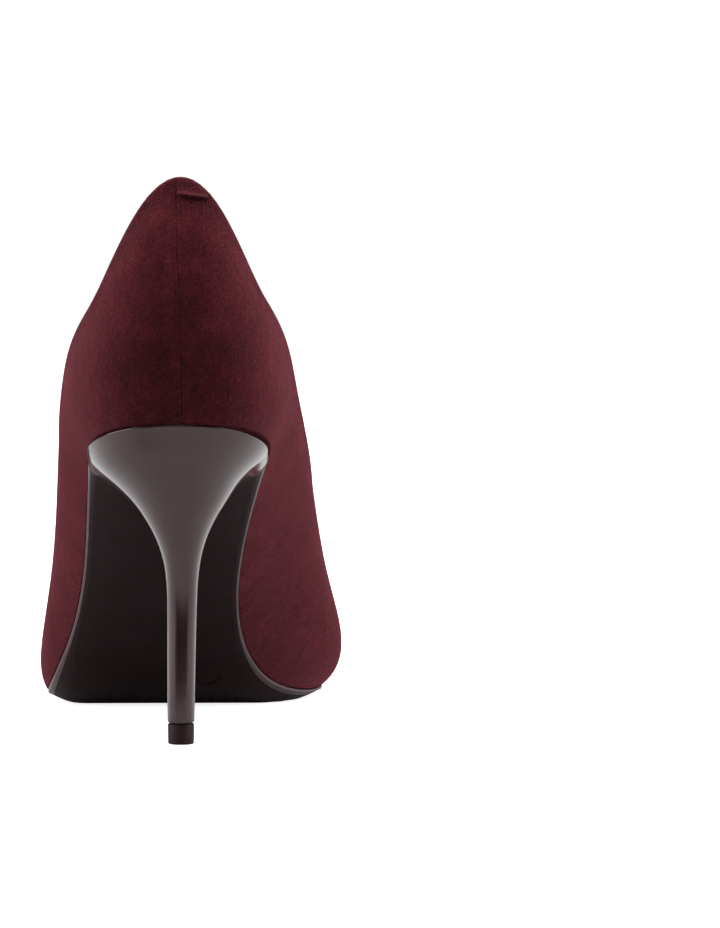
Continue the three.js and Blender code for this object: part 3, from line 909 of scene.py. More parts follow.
@dataclass(frozen=True)
class SoleResin:
    """Satin moulded sole with a fine pebble and faint drag marks."""

    name: str = "sole_finish"
    dark: tuple = (0.0095, 0.0026, 0.0034)
    light: tuple = (0.0185, 0.0062, 0.0080)
    roughness: tuple = (0.34, 0.5)
    gloss: float = 0.13

    def material(self) -> bpy.types.Material:
        """Builds the material."""
        n = Nodes(self.name)
        cloud = n.noise(18, 4)
        pebble = n.cells(0.55)
        fine = n.noise(0.3, 3, 0.65)
        drag = n.noise(1.6, 3, 0.6, (1, 0.12, 0.3))
        n.colour(n.ramp(cloud, (0.3, self.dark), (0.72, self.light)))
        n.roughen(drag, *self.roughness)
        n.set(Specular_IOR_Level=self.gloss, Specular_Tint=(1, 0.62, 0.68, 1))
        n.bump((pebble, 0.12, 0.05), (fine, 0.2, 0.02), (drag, 0.1, 0.04))
        return n.material


@dataclass(frozen=True)
class LiningLeather:
    """Smooth lining leather with pores and fine creases."""

    name: str = "lining_finish"
    dark: tuple = (0.42, 0.265, 0.165)
    light: tuple = (0.56, 0.385, 0.26)
    roughness: tuple = (0.5, 0.68)
    pore: float = 0.9

    def material(self) -> bpy.types.Material:
        """Builds the material."""
        n = Nodes(self.name)
        cloud = n.noise(16, 4)
        pores = n.cells(self.pore)
        fine = n.noise(0.35, 3, 0.65)
        colour = n.ramp(cloud, (0.3, self.dark), (0.7, self.light))
        dots = n.ramp(pores, (0.0, (0.82, 0.79, 0.76)), (0.12, (1, 1, 1)))
        n.colour(n.blend(1.0, colour, dots, "MULTIPLY"))
        n.roughen(fine, *self.roughness)
        n.set(Specular_IOR_Level=0.35, Sheen_Weight=0.05)
        n.bump((pores, 0.25, 0.06), (fine, 0.3, 0.03))
        return n.material


@dataclass(frozen=True)
class Cloth:
    """Plain woven cloth or tape."""

    name: str
    dark: tuple
    light: tuple
    thread: float = 0.35

    def material(self) -> bpy.types.Material:
        """Builds the material."""
        n = Nodes(self.name)
        warp, weft = n.weave(self.thread, "X"), n.weave(self.thread, "Z")
        slub = n.noise(1.2, 3, 0.6)
        grid = n.blend(0.5, warp, weft)
        n.colour(n.ramp(grid, (0.25, self.dark), (0.75, self.light)))
        n.roughen(slub, 0.8, 0.95)
        n.set(Sheen_Weight=0.15, Specular_IOR_Level=0.2)
        n.bump((warp, 0.4, 0.06), (weft, 0.4, 0.06), (slub, 0.2, 0.05))
        return n.material


@dataclass(frozen=True)
class Board:
    """Pressed board, cork or foam: short fibres or bubbles in a matt sheet."""

    name: str
    dark: tuple
    light: tuple
    grain: float = 0.5
    stretch: tuple = (1, 0.3, 1)

    def material(self) -> bpy.types.Material:
        """Builds the material."""
        n = Nodes(self.name)
        fibres = n.noise(self.grain, 4, 0.7, self.stretch)
        blotch = n.noise(6, 3)
        cells = n.cells(self.grain * 2)
        body = n.ramp(fibres, (0.3, self.dark), (0.7, self.light))
        shade = n.ramp(blotch, (0.3, (0.82, 0.82, 0.82)), (0.7, (1.08, 1.08, 1.08)))
        n.colour(n.blend(1.0, body, shade, "MULTIPLY"))
        n.roughen(fibres, 0.75, 0.95)
        n.set(Specular_IOR_Level=0.25)
        n.bump((fibres, 0.5, 0.08), (cells, 0.3, 0.06))
        return n.material


@dataclass(frozen=True)
class Metal:
    """Drawn or plated metal with fine marks along its length."""

    name: str
    dark: tuple
    light: tuple
    roughness: tuple = (0.25, 0.45)

    def material(self) -> bpy.types.Material:
        """Builds the material."""
        n = Nodes(self.name)
        marks = n.noise(0.4, 3, 0.6, (1, 1, 0.1))
        tarnish = n.noise(3.5, 4, 0.6)
        n.colour(n.ramp(tarnish, (0.3, self.dark), (0.7, self.light)))
        n.roughen(marks, *self.roughness)
        n.set(Metallic=1.0)
        n.bump((marks, 0.25, 0.02), (tarnish, 0.1, 0.02))
        return n.material


@dataclass(frozen=True)
class Thread:
    """Twisted sewing thread."""

    name: str
    dark: tuple
    light: tuple

    def material(self) -> bpy.types.Material:
        """Builds the material."""
        n = Nodes(self.name)
        twist = n.noise(0.18, 2, 0.6, (1, 1, 2))
        n.colour(n.ramp(twist, (0.3, self.dark), (0.7, self.light)))
        n.roughen(twist, 0.6, 0.85)
        n.set(Sheen_Weight=0.3, Specular_IOR_Level=0.3)
        n.bump((twist, 0.5, 0.05))
        return n.material


def settle(
    obj: bpy.types.Object,
    material: bpy.types.Material,
    slot: str,
    *replaced: str,
) -> bpy.types.Object:
    """Dresses a piece and fixes it to the shoe.

    Args:
        obj: The piece.
        material: Its finish.
        slot: Not used.
        replaced: The frame's nodes it stands for.

    Returns:
        The piece.
    """
    obj.data.materials.clear()
    obj.data.materials.append(material)
    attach(obj, "root")
    if replaced:
        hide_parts(*replaced)
    LOG.info("%s: %d faces", obj.name, len(obj.data.polygons))
    return obj


# ---- Sub-assemblies ----
@dataclass
class Upper:
    """The suede upper with its folded topline, back seam and pull tab."""

    thickness: float = 1.0
    fold: float = 2.2
    fold_depth: float = 4.5
    fold_bead: float = 0.32
    seam_depth: float = 0.5
    seam_width: float = 0.3
    seam_foot: tuple[float, float] = (86, 0.5)
    seam_head: tuple[float, float] = (146, -1.1)
    stitch_pitch: float = 1.25
    tab_start: float = -0.9
    tab_end: float = 8.3
    tab_low: float = 146.8
    tab_slant: float = 0.11

    def seam_x(self, z: np.ndarray) -> np.ndarray:
        """Gives where the slightly slanted back seam runs at a height."""
        heights, places = zip(self.seam_foot, self.seam_head)
        return np.interp(z, heights, places)

    def build(self) -> None:
        """Builds and dresses the upper, its tab and its stitches."""
        finish = Suede().material()
        skin = Cladding(flange=8.5, fine_seam=True, rows=40).skin()
        p = skin.points
        edge = topline_points()
        near = distance_to(p, edge)
        radius = self.fold / 2
        lip = radius - np.sqrt(np.clip(radius**2 - (radius - near) ** 2, 0, None))
        lip = np.where(near < radius, lip, 0.0)
        tuck = 1 - smooth(near, 1.5, self.fold_depth)
        back = self.thickness + (self.fold - self.thickness) * tuck
        back = np.where(near < radius, self.fold - lip, back)
        on_edge = near < 0.02
        lip[on_edge] = radius
        back[on_edge] = radius
        bead = self.fold_bead * (1 - smooth(near, 0.8, 4.0))
        points, faces = skin.shell(lip - bead + self.seam(p), back)
        settle(make_object("upper_suede", points, faces), finish, "suede", "upper")
        self.build_tab(finish)

    def seam(self, p: np.ndarray) -> np.ndarray:
        """Works out how deep the closed back seam sinks the surface.

        Args:
            p: Points of the surface.

        Returns:
            The depth at each point.
        """
        aside = p[:, 0] - self.seam_x(p[:, 2])
        rear = (p[:, 1] < 14) & (p[:, 2] > 84)
        pull = 0.75 + 0.25 * np.cos(2 * math.pi * p[:, 2] / self.stitch_pitch)
        groove = self.seam_depth * pull * np.exp(-((aside / self.seam_width) ** 2))
        swell = 0.16 * np.exp(-(((np.abs(aside) - 1.3) / 0.8) ** 2))
        fade = 1 - smooth(p[:, 2], self.seam_head[0], self.seam_head[0] + 1.5)
        return np.where(rear, (groove - swell) * fade, 0.0)

    def build_tab(self, finish: bpy.types.Material) -> None:
        """Builds the folded tab beside the seam and its row of stitches.

        Args:
            finish: The suede.
        """
        rows = FORM.side(Side.INNER)[:1200]
        across = np.linspace(self.tab_start, self.tab_end, 40)
        stations = np.interp(np.abs(across), rows[:, 0], rows[:, 1])
        columns = []
        for x, station in zip(across, stations):
            side = Side.INNER if x >= 0 else Side.OUTER
            wall = FORM.walls(side, np.array([station]))
            top = FORM.top_share(wall, 0.0)[0]
            path = wall.at(np.linspace(0.4, top, 600)[None, :])[0]
            run = lengths(path)
            low = self.tab_low - self.tab_slant * (x - self.tab_start)
            foot = np.interp(low, path[:, 2], run)
            marks = foot + (run[-1] - 0.25 - foot) * np.linspace(0, 1, 30)
            columns.append(along(path, run, marks))
        grid = np.array(columns)
        skin = Skin.over(grid)
        p = skin.points
        aside = np.minimum(p[:, 0] - self.tab_start, self.tab_end - p[:, 0]).clip(0)
        above = distance_to(p, grid[:, 0])
        below_top = distance_to(p, grid[:, -1])
        lifted = np.exp(-((above / 1.1) ** 2))
        edge = np.sqrt(np.clip(aside / 0.6, 0.04, 1) * np.clip(above / 0.35, 0.1, 1))
        outer = (0.45 + 0.85 * lifted) * (0.2 + 0.8 * smooth(below_top, 0, 1.4))
        inner = 0.5 * lifted * smooth(aside, 0, 1.2) - 0.3
        middle = (outer + inner) / 2
        fold = 1.1 - np.sqrt(
            np.clip(1.1**2 - (1.1 - np.clip(below_top + 0.25, 0, 1.1)) ** 2, 0, None)
        )
        front = fold - middle - (outer - middle) * edge
        points, faces = skin.shell(front, fold - middle + (middle - inner) * edge)
        settle(make_object("pull_tab", points, faces), finish, "suede", "back_tab")
        seat = (above > 0.5) & (above < 0.9) & (aside > 0.5)
        order = np.argsort(p[seat][:, 0])
        raised = (p - skin.normals * front[:, None])[seat][order]
        x = np.linspace(raised[0, 0], raised[-1, 0], 60)
        line = along(raised, raised[:, 0], x)
        for c in (1, 2):
            padded = np.pad(line[:, c], 4, mode="edge")
            line[:, c] = np.convolve(padded, np.ones(9) / 9, mode="valid")
        face = np.tile(skin.normals[seat].mean(axis=0), (len(line), 1))
        points, faces = stitch_mesh(line, face, 0.75, 0.55, 0.1)
        thread = Thread("suede_thread", (0.09, 0.016, 0.024), (0.2, 0.05, 0.065)).material()
        settle(make_object("tab_stitches", points, faces), thread, "suede")


@dataclass
class Lining:
    """The leather linings, the heel grip and the topline tape."""

    outer: float = 1.95
    thickness: float = 0.62
    drop: float = 1.5
    join: float = 96.0
    overlap: float = 5.0
    row_below: float = 1.6
    grip_front: float = 33.0
    grip_drop: float = 7.0

    def build(self) -> None:
        """Builds and dresses the linings."""
        leather = LiningLeather().material()
        thread = Thread("lining_thread", (0.42, 0.29, 0.19), (0.62, 0.46, 0.33)).material()
        edge = topline_points(self.drop)
        skin = Cladding(drop=self.drop, start_rise=2.2, rows=26).skin()
        for name, node, keep, lift in (
            ("quarter_lining_leather", "quarter_lining", lambda y: y < self.join, 0.0),
            ("vamp_lining_leather", "vamp_lining", lambda y: y > self.join - self.overlap, 0.5),
        ):
            faces = [
                f for f in skin.faces if keep(float(skin.points[list(f)][:, 1].mean()))
            ]
            part = Skin(skin.points, faces)
            part.normals = skin.normals
            near = distance_to(part.points, edge)
            y = part.points[:, 1]
            ledge = lift * (1 - smooth(y, self.join - 1, self.join + 6))
            cut = np.clip(near / 0.5, 0, 1)
            round_off = 0.28 * (1 - np.sqrt(1 - (1 - cut) ** 2))
            back = self.outer + self.thickness + ledge - round_off
            front = self.outer + ledge + round_off
            points, solid = part.shell(front, back)
            settle(make_object(name, points, solid), leather, "lining", node)
        self.build_stitches(thread)
        self.build_tape()
        self.build_grip(thread)

    def build_stitches(self, thread: bpy.types.Material) -> None:
        """Sews the row just below the topline, on the lining's inner face.

        Args:
            thread: The thread's finish.
        """
        line = topline_points(self.drop + self.row_below)
        inside = self.inward(line, self.outer + self.thickness)
        points, faces = stitch_mesh(inside[0], inside[1], 1.9, 0.7, 0.17)
        settle(make_object("topline_stitches", points, faces), thread, "lining")

    def inward(self, line: np.ndarray, depth: float) -> tuple[np.ndarray, np.ndarray]:
        """Moves a line on the last's surface inward.

        Args:
            line: Points on the surface.
            depth: How far.

        Returns:
            The moved points and the direction each moved in.
        """
        skin = Cladding(drop=self.drop, start_rise=2.2, rows=26, edge_rows=(4, 2, 1, 0)).skin()
        normals = np.zeros_like(line)
        for k, p in enumerate(line):
            gap = np.linalg.norm(skin.points - p, axis=1)
            close = np.argsort(gap)[:4]
            weight = 1 / (gap[close] + 0.2)
            n = (skin.normals[close] * weight[:, None]).sum(axis=0)
            normals[k] = n / np.linalg.norm(n)
        return line - normals * depth, -normals

    def build_tape(self) -> None:
        """Builds the woven tape inside the topline."""
        skin = Cladding(
            drop=1.3, top_band=8.0, rows=6, last=150.5, edge_rows=(2, 1, 0)
        ).skin()
        skin = Skin(skin.points, [f for f in skin.faces if skin.points[list(f)][:, 1].max() < 150])
        points, faces = skin.shell(1.25, 1.8)
        tape = Cloth("tape_finish", (0.55, 0.50, 0.42), (0.78, 0.74, 0.66)).material()
        settle(make_object("woven_topline_tape", points, faces), tape, "tape", "topline_tape")

    def build_grip(self, thread: bpy.types.Material) -> None:
        """Builds the napped patch that holds the heel, with its stitching.

        Args:
            thread: The thread's finish.
        """
        front, drop = self.grip_front, self.grip_drop
        skin = Cladding(
            drop=drop, start_rise=14, rows=22, last=front, edge_rows=(2, 1, 0.5, 0)
        ).skin()
        near_front = np.clip((front - skin.points[:, 1]) / 0.6, 0, 1)
        top = np.clip(distance_to(skin.points, topline_points(drop)) / 0.5, 0, 1)
        flat = np.minimum(near_front, top)
        round_off = 0.45 * (1 - np.sqrt(1 - (1 - flat) ** 2))
        base = self.outer + self.thickness
        points, faces = skin.shell(base - 0.05, base + 0.6 - round_off)
        nap = LiningLeather("grip_finish", (0.33, 0.20, 0.12), (0.45, 0.30, 0.20), (0.8, 0.95), 0.5)
        settle(make_object("heel_grip_leather", points, faces), nap.material(), "grip", "heel_grip")
        line = topline_points(drop + self.row_below)
        line = line[line[:, 1] < front - 1.5]
        inside = self.inward(line, base + 0.55)
        points, faces = stitch_mesh(inside[0], inside[1], 1.9, 0.7, 0.17)
        settle(make_object("grip_stitches", points, faces), thread, "lining")


@dataclass
class Footbed:
    """The sock lining and the two foam pads under it."""

    sock_rise: float = 4.75
    sock_thickness: float = 0.9
    sock_inset: float = 3.3
    sock_snug: float = 0.95
    edge_curl: float = 0.7
    pad_rise: float = 1.75
    cushion_rise: float = 0.55
    waist: float = 110
    heel_pad_end: float = 57
    heel_pad_inset: float = 8.5
    heel_pad_crown: float = 1.4
    ball_pad_start: float = 119
    ball_pad_end: float = 195
    ball_pad_inset: float = 6.0
    ball_pad_crown: float = 0.95

    def slab(
        self,
        name: str,
        stations: np.ndarray,
        inset: Callable[[Walls], np.ndarray],
        low: Callable[[np.ndarray, np.ndarray], np.ndarray],
        high: Callable[[np.ndarray, np.ndarray], np.ndarray],
        across: int = 28,
    ) -> bpy.types.Object:
        """Builds a sheet between the two sides that follows the seat line.

        Args:
            name: The piece's name.
            stations: Stations along it.
            inset: How far its edge lies inside the feather line.
            low: Height of its underside from the station and the place across, -1 to 1.
            high: Height of its top, the same way.
            across: How many steps it has across.

        Returns:
            The object.
        """
        left = FORM.walls(Side.OUTER, stations)
        right = FORM.walls(Side.INNER, stations)
        a, b = left.plan(inset(left)), right.plan(inset(right))
        s = -np.cos(np.linspace(0, math.pi, across))
        t = (s + 1) / 2
        plan = a[:, None] * (1 - t)[None, :, None] + b[:, None] * t[None, :, None]
        y = plan[..., 1]
        place = np.broadcast_to(s, y.shape)
        top = np.concatenate([plan, high(y, place)[..., None]], axis=-1)
        bottom = np.concatenate([plan, low(y, place)[..., None]], axis=-1)
        ring = np.concatenate([top, bottom[:, ::-1]], axis=1)
        ring = np.concatenate([ring, ring[:, :1]], axis=1)
        body = Skin.over(ring)
        faces = list(body.faces)

        def key(q: np.ndarray) -> tuple[int, ...]:
            """Names a point by its rounded place, as welding does."""
            return tuple(np.round(q * WELD_STEPS).astype(np.int64).tolist())

        spots = {key(q): k for k, q in enumerate(body.points)}
        for row, flip in ((0, True), (-1, False)):
            cap = Skin.over(np.stack([ring[row, :across], ring[row, across : 2 * across][::-1]]))
            own = [spots[key(q)] for q in cap.points]
            for f in cap.faces:
                loop = tuple(own[k] for k in f)
                faces.append(loop[::-1] if flip else loop)
        return make_object(name, body.points, faces)

    def build(self) -> None:
        """Builds and dresses the footbed."""
        back, tip = FORM.ends()
        leather = LiningLeather("sock_finish", (0.40, 0.25, 0.155), (0.53, 0.36, 0.24), (0.42, 0.6))
        waist = self.waist
        run = np.concatenate([ease_in(back, waist, 70), ease_out(waist, tip - 1.0, 70)[1:]])

        def lift(y: np.ndarray, s: np.ndarray) -> np.ndarray:
            """Raises the sock over its pads and curls up its edges."""
            heel = self.pad_rise * (1 - smooth(y, 56, 78))
            ball = smooth(y, 112, 132) * (1 - smooth(y, 180, 200))
            cushion = self.cushion_rise * ball * (1 - s**4)
            curl = self.edge_curl * np.abs(s) ** 10
            return FORM.seat(y) + self.sock_rise + heel + cushion + curl

        def edge(walls: Walls) -> np.ndarray:
            """Brings the sock's edge up to the lining."""
            snug = self.sock_snug * (1 - smooth(walls.y, 74, 92))
            lean = 0.8 * walls.bulge / walls.rise * (self.sock_rise + 0.6)
            return self.sock_inset - snug - lean

        sock = self.slab(
            "sock_leather",
            run,
            edge,
            lift,
            lambda y, s: lift(y, s) + self.sock_thickness * (1 - 0.5 * np.abs(s) ** 24),
        )
        settle(sock, leather.material(), "lining", "sock_lining")
        foam = Board("foam_finish", (0.62, 0.52, 0.28), (0.86, 0.78, 0.50), 0.35, (1, 1, 1))
        finish = foam.material()

        def heel_top(y: np.ndarray, s: np.ndarray) -> np.ndarray:
            """Crowns the heel pad and thins it towards its front."""
            thin = 1 - smooth(y, 46, self.heel_pad_end) * 0.8
            return FORM.seat(y) + 4.9 + self.heel_pad_crown * (1 - s**8) * thin

        heel = self.slab(
            "heel_foam",
            ease_in(back, self.heel_pad_end, 40),
            lambda walls: np.full(len(walls.y), self.heel_pad_inset),
            lambda y, s: FORM.seat(y) + 4.7,
            heel_top,
        )
        settle(heel, finish, "foam", "heel_pad")

        def ball_top(y: np.ndarray, s: np.ndarray) -> np.ndarray:
            """Crowns the ball pad and thins it towards both ends."""
            thin = smooth(y, 118, 124) * (1 - 0.9 * smooth(y, 188, 195.5))
            return FORM.seat(y) + 3.6 + self.ball_pad_crown * (1 - s**8) * thin

        ball = self.slab(
            "ball_foam",
            np.linspace(self.ball_pad_start, self.ball_pad_end, 50),
            lambda walls: np.full(len(walls.y), self.ball_pad_inset),
            lambda y, s: FORM.seat(y) + 3.45,
            ball_top,
        )
        settle(ball, finish, "foam", "ball_pad")


@dataclass
class Outsole:
    """The satin outsole, thin in the waist and flat under the ball, with a painted highlight on its
    edge.
    """

    waist: float = 1.7
    tread: float = 4.0
    crown: float = 1.0
    edge: float = 0.95
    # Painted highlight: a lighter colour on the sole's edge faces stands for the light caught along
    # its edge.
    painted_edge_highlight_dark: tuple = (0.075, 0.052, 0.056)
    painted_edge_highlight_light: tuple = (0.120, 0.090, 0.095)
    edge_round: float = 0.3
    roll: float = 10.5
    middle: float = 110
    feather_inset: float = 0.22
    seat_inset: float = 3.4
    seat_end: tuple[float, float] = (31, 36)
    tread_start: float = 138
    toe_thinning: float = 1.5
    stations: int = 190
    stamp_place: tuple[float, float] = (7.6, 118.0)
    stamp_half: tuple[float, float] = (4.0, 4.2)
    stamp_radius: float = 0.14

    def thickness(self, y: np.ndarray) -> np.ndarray:
        """Gives the thickness along the sole."""
        thick = self.waist + (self.tread - self.waist) * smooth(y, 100, self.tread_start)
        return thick - self.toe_thinning * smooth(y, 172, 215)

    def laid(self, plan: np.ndarray, drop: np.ndarray) -> np.ndarray:
        """Lays plan points below the seat line, no lower than the ground."""
        z = np.maximum(FORM.seat(plan[:, 1]) + drop, 0)
        return np.concatenate([plan, z[:, None]], axis=1)

    def build(self) -> None:
        """Builds and dresses the outsole, with a painted highlight on its edge faces, and its stamp
        ring.
        """
        back, tip = FORM.ends()
        half = self.stations // 2
        y = np.concatenate([ease_in(back, self.middle, half), ease_out(self.middle, tip, half)[1:]])
        left, right = FORM.walls(Side.OUTER, y), FORM.walls(Side.INNER, y)
        base = self.feather_inset + self.seat_inset * (1 - smooth(y, *self.seat_end))
        thick = self.thickness(y)
        edge = np.minimum(self.edge, 0.55 * thick)
        r = self.edge_round
        rings, bevels = [], []
        for walls in (left, right):
            bevel = 2.0 + (self.roll - 2.0) * smooth(y, 104, self.tread_start)
            bevel = np.minimum(bevel, 0.4 * walls.reach)
            profile = [
                (base + 0.6, 0 * y),
                (base + 0.12, 0 * y),
                (base, -0.12 + 0 * y),
                (base, -(edge - r)),
                (base + 0.25 * r, -(edge - 0.3 * r)),
            ]
            for share in (0.06, 0.13, 0.22, 0.34, 0.48, 0.64, 0.82, 1.0):
                deep = edge + (thick - edge) * (1 - (1 - share) ** 2) ** 1.15
                profile.append((base + 0.3 + bevel * share, -deep))
            rings.append([self.laid(walls.plan(inset), drop) for inset, drop in profile])
            bevels.append(base + 0.3 + bevel)
        a, b = left.plan(bevels[0]), right.plan(bevels[1])
        bottom = []
        for s in np.linspace(-1, 1, 34)[1:-1]:
            t = (s + 1) / 2
            plan = a * (1 - t) + b * t
            bulge = self.crown * (1 - s**4) * (1 - smooth(y, 118, 136)) * smooth(y, 50, 64)
            bottom.append(self.laid(plan, -self.thickness(plan[:, 1]) - bulge))
        ring = [*rings[0], *bottom, *reversed(rings[1])]
        grid = np.stack([*ring, ring[0]], axis=1)
        skin = Skin.over(grid[::-1])
        sole = make_object("outsole_resin", skin.points, skin.faces)
        settle(sole, SoleResin().material(), "outsole", "outsole")
        # A second, lighter and glossier finish for the edge faces: its lighter colour is a painted
        # highlight along the sole's edge.
        painted_edge_highlight = SoleResin("sole_edge_painted_highlight", self.painted_edge_highlight_dark, self.painted_edge_highlight_light, (0.26, 0.4), 0.6)
        sole.data.materials.append(painted_edge_highlight.material())
        # The first few edge rings on each side take the painted highlight.
        last = len(ring) - 2
        for face, band in zip(sole.data.polygons, skin.bands, strict=True):
            if min(band - 1, last - 1 - band) in range(0, 5):
                face.material_index = 1
        self.build_stamp()

    def build_stamp(self) -> None:
        """Builds the blank oval bead pressed into the sole behind the ball."""
        centre_x, centre_y = self.stamp_place
        half_x, half_y = self.stamp_half
        count, sides = 96, 8
        points = []
        for k in range(count):
            a = 2 * math.pi * k / count
            x = centre_x + half_x * math.cos(a)
            y = centre_y + half_y * math.sin(a)
            bulge = self.crown * 0.93 * float(1 - smooth(y, 118, 136))
            z = float(FORM.seat(y) - self.thickness(np.array(y))) - bulge
            slope = float(FORM.seat(y + 0.5) - FORM.seat(y - 0.5))
            down = np.array([0, slope, -1]) / math.hypot(slope, 1)
            outward = np.array([math.cos(a), math.sin(a), slope * math.sin(a)])
            outward /= np.linalg.norm(outward)
            for s in range(sides):
                b = 2 * math.pi * s / sides
                flat = math.cos(b) * outward * 1.6
                offset = self.stamp_radius * (flat + math.sin(b) * down)
                points.append(np.array([x, y, z]) + offset)
        finish = SoleResin("stamp_finish", (0.010, 0.004, 0.005), (0.018, 0.008, 0.009))
        faces = tube_faces(count, sides, closed=True)
        obj = make_object("sole_stamp_ring", np.array(points), faces)
        settle(obj, finish.material(), "outsole")


@dataclass
class Heel:
    """The lacquered heel block and its top piece."""

    levels: tuple = (
        (5.8, 0, 3.64, 15.9, 25, 2.3, 0),
        (26, 0, 3.85, 15.9, 25.2, 2.3, 0.18),
        (39.5, 0.03, 4.12, 15.2, 26, 2.3, 0.34),
        (47.6, 0.06, 4.84, 13.8, 27.4, 2.3, 0.34),
        (54, 0.1, 6.63, 11.9, 29.6, 2.4, 0.14),
        (60, 0.13, 9.61, 9.7, 33, 2.7, -0.1),
        (65, 0.16, 12.98, 7.6, 37.4, 3.1, -0.43),
        (69.5, 0.16, 16.7, 5.4, 42, 4.2, -1.25),
        (73, 0.18, 20.3, 3.7, 45.6, 4.8, -1.6),
        (76, 0.24, 22.9, 2.2, 47.6, 5.4, -1.25),
        (79, 0.27, 24.5, 0.8, 48.8, 5.6, -0.85),
    )
    rim_steps: tuple = (
        (0.03, 0.3), (0.1, 0.22), (0.25, 0.17), (1.2, 0.13), (2.3, 0.3), (2.5, 1.2), (2.7, 2.1),
    )  # fmt: skip
    cap_level: tuple = (0, 0, 3.5, 16.5, 24.8, 2.3, 0)
    cap_steps: tuple = (
        (0.45, 0.0), (0.2, 0.06), (0.06, 0.25), (0.0, 0.6), (-0.02, 2.8),
        (-0.03, 5.0), (0.02, 5.3), (0.2, 5.45), (0.5, 5.5),
    )  # fmt: skip
    centre: float = 24.0
    flare_start: float = 58.0
    rim_start: float = 66.0
    rim_gap: float = 0.4
    around: int = 144

    def ring(self, level: Sequence[float]) -> np.ndarray:
        """Places one level's outline.

        Args:
            level: Height, slope, half width, back, front, squareness and sideways shift.

        Returns:
            The outline's points.
        """
        height, slope, half, back, front, power, aside = level
        share = 0.52 + 0.1 * smooth(height, 62, 79)
        middle = back + (front - back) * share
        a = np.linspace(0, 2 * math.pi, self.around, endpoint=False)
        c, s = np.cos(a), np.sin(a)
        n = np.where(s < 0, 2.15, power)
        x = aside + half * np.sign(c) * np.abs(c) ** (2 / n)
        depth = np.where(s < 0, middle - back, front - middle)
        y = middle + depth * np.sign(s) * np.abs(s) ** (2 / n)
        z = height - slope * (y - self.centre)
        top = self.levels[-1]
        rim = top[0] - top[1] * (y - self.centre)
        z = z + smooth(height, self.rim_start, top[0]) * (FORM.seat(y) - self.rim_gap - rim)
        return np.stack([x, y, z], axis=1)

    def stack(
        self, name: str, rings: Sequence[np.ndarray]
    ) -> bpy.types.Object:
        """Closes a stack of outlines into a solid.

        Args:
            name: The piece's name.
            rings: Outlines from the bottom up.

        Returns:
            The object.
        """
        count = len(rings[0])
        ends = [rings[0].mean(axis=0), rings[-1].mean(axis=0)]
        points = np.concatenate([*rings, np.array(ends)])
        low, high = len(points) - 2, len(points) - 1
        faces = tube_faces(len(rings), count)
        last = (len(rings) - 1) * count
        for k in range(count):
            n = (k + 1) % count
            faces.append((low, n, k))
            faces.append((high, last + k, last + n))
        return make_object(name, points, faces)

    def inset(self, ring: np.ndarray, by: float, drop: float) -> np.ndarray:
        """Draws an outline in towards its middle and lowers it."""
        middle = np.array([0, 25.0, 0])
        out = ring - middle
        out[:, 2] = 0
        length = np.linalg.norm(out, axis=1, keepdims=True)
        moved = ring - out / length * by
        moved[:, 2] = FORM.seat(moved[:, 1]) - drop
        return moved

    def build(self) -> None:
        """Builds and dresses the heel and the top piece."""
        table = np.array(self.levels, float)
        foot, rim = table[0, 0], table[-1, 0]
        marks = np.concatenate(
            [np.linspace(foot, self.flare_start, 52), np.linspace(self.flare_start + 0.8, rim, 60)]
        )
        curves = [Curve(*zip(table[:, 0], column)) for column in table.T]
        rings = [self.ring([float(curve(m)) for curve in curves]) for m in marks]
        foot = rings[0]
        rings[:1] = [
            np.column_stack([self.shrink(foot, 0.35), foot[:, 2]]),
            np.column_stack([self.shrink(foot, 0.08), foot[:, 2] + 0.12]),
            foot + np.array([0, 0, 0.35]),
        ]
        rim = rings[-1]
        for by, drop in self.rim_steps:
            rings.append(self.inset(rim, by, drop))
        settle(self.stack("heel_lacquered", rings), Lacquer().material(), "heel", "heel")
        self.build_top_piece()

    def shrink(self, ring: np.ndarray, by: float) -> np.ndarray:
        """Draws a plan outline in by a margin."""
        centre = ring[:, :2].mean(axis=0)
        out = ring[:, :2] - centre
        length = np.linalg.norm(out, axis=1, keepdims=True)
        return centre + out * (1 - by / length)

    def build_top_piece(self) -> None:
        """Builds the small hard piece that the heel stands on."""
        base = self.ring(self.cap_level)
        rings = []
        for by, z in self.cap_steps:
            rings.append(np.column_stack([self.shrink(base, by), np.full(self.around, z)]))
        finish = SoleResin(
            "top_piece_finish", (0.020, 0.011, 0.012), (0.036, 0.022, 0.023), (0.42, 0.6)
        )
        piece = self.stack("top_piece_cap", rings)
        settle(piece, finish.material(), "top_piece", "top_piece")


@dataclass
class HiddenParts:
    """Finishes for the frame's own nodes that stay as they are."""

    def dress(self) -> None:
        """Gives each carried node its finish."""
        board = Board("insole_board_finish", (0.36, 0.22, 0.11), (0.58, 0.40, 0.23)).material()
        stiff = Board("shank_board_finish", (0.20, 0.13, 0.075), (0.34, 0.23, 0.14)).material()
        cork = Board(
            "cork_finish", (0.24, 0.13, 0.06), (0.48, 0.31, 0.17), 1.1, (1, 1, 1)
        ).material()
        sheet = Board("stiffener_finish", (0.46, 0.36, 0.22), (0.62, 0.52, 0.36), 0.3).material()
        cloth = Cloth("interlining_finish", (0.62, 0.58, 0.50), (0.84, 0.80, 0.73)).material()
        steel = Metal("steel_finish", (0.34, 0.35, 0.36), (0.58, 0.59, 0.60)).material()
        brass = Metal("rivet_finish", (0.42, 0.32, 0.15), (0.68, 0.55, 0.30)).material()
        finishes = {
            "insole_board": board,
            "shank_board": stiff,
            "forepart_filler": cork,
            "heel_counter": sheet,
            "toe_puff": sheet,
            "vamp_backing": cloth,
            "shank_rivet_rear": brass,
            "shank_rivet_front": brass,
        }
        for name in ("shank", "heel_tube", "top_piece_pin", "heel_screw"):
            finishes[name] = steel
        for end in ("back", "front"):
            for edge in ("lateral", "medial"):
                finishes[f"heel_nail_{end}_{edge}"] = steel
        for name, material in finishes.items():
            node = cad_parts[name]
            for slot in node.material_slots:
                slot.material = material
            LOG.info("%s: carried over", name)


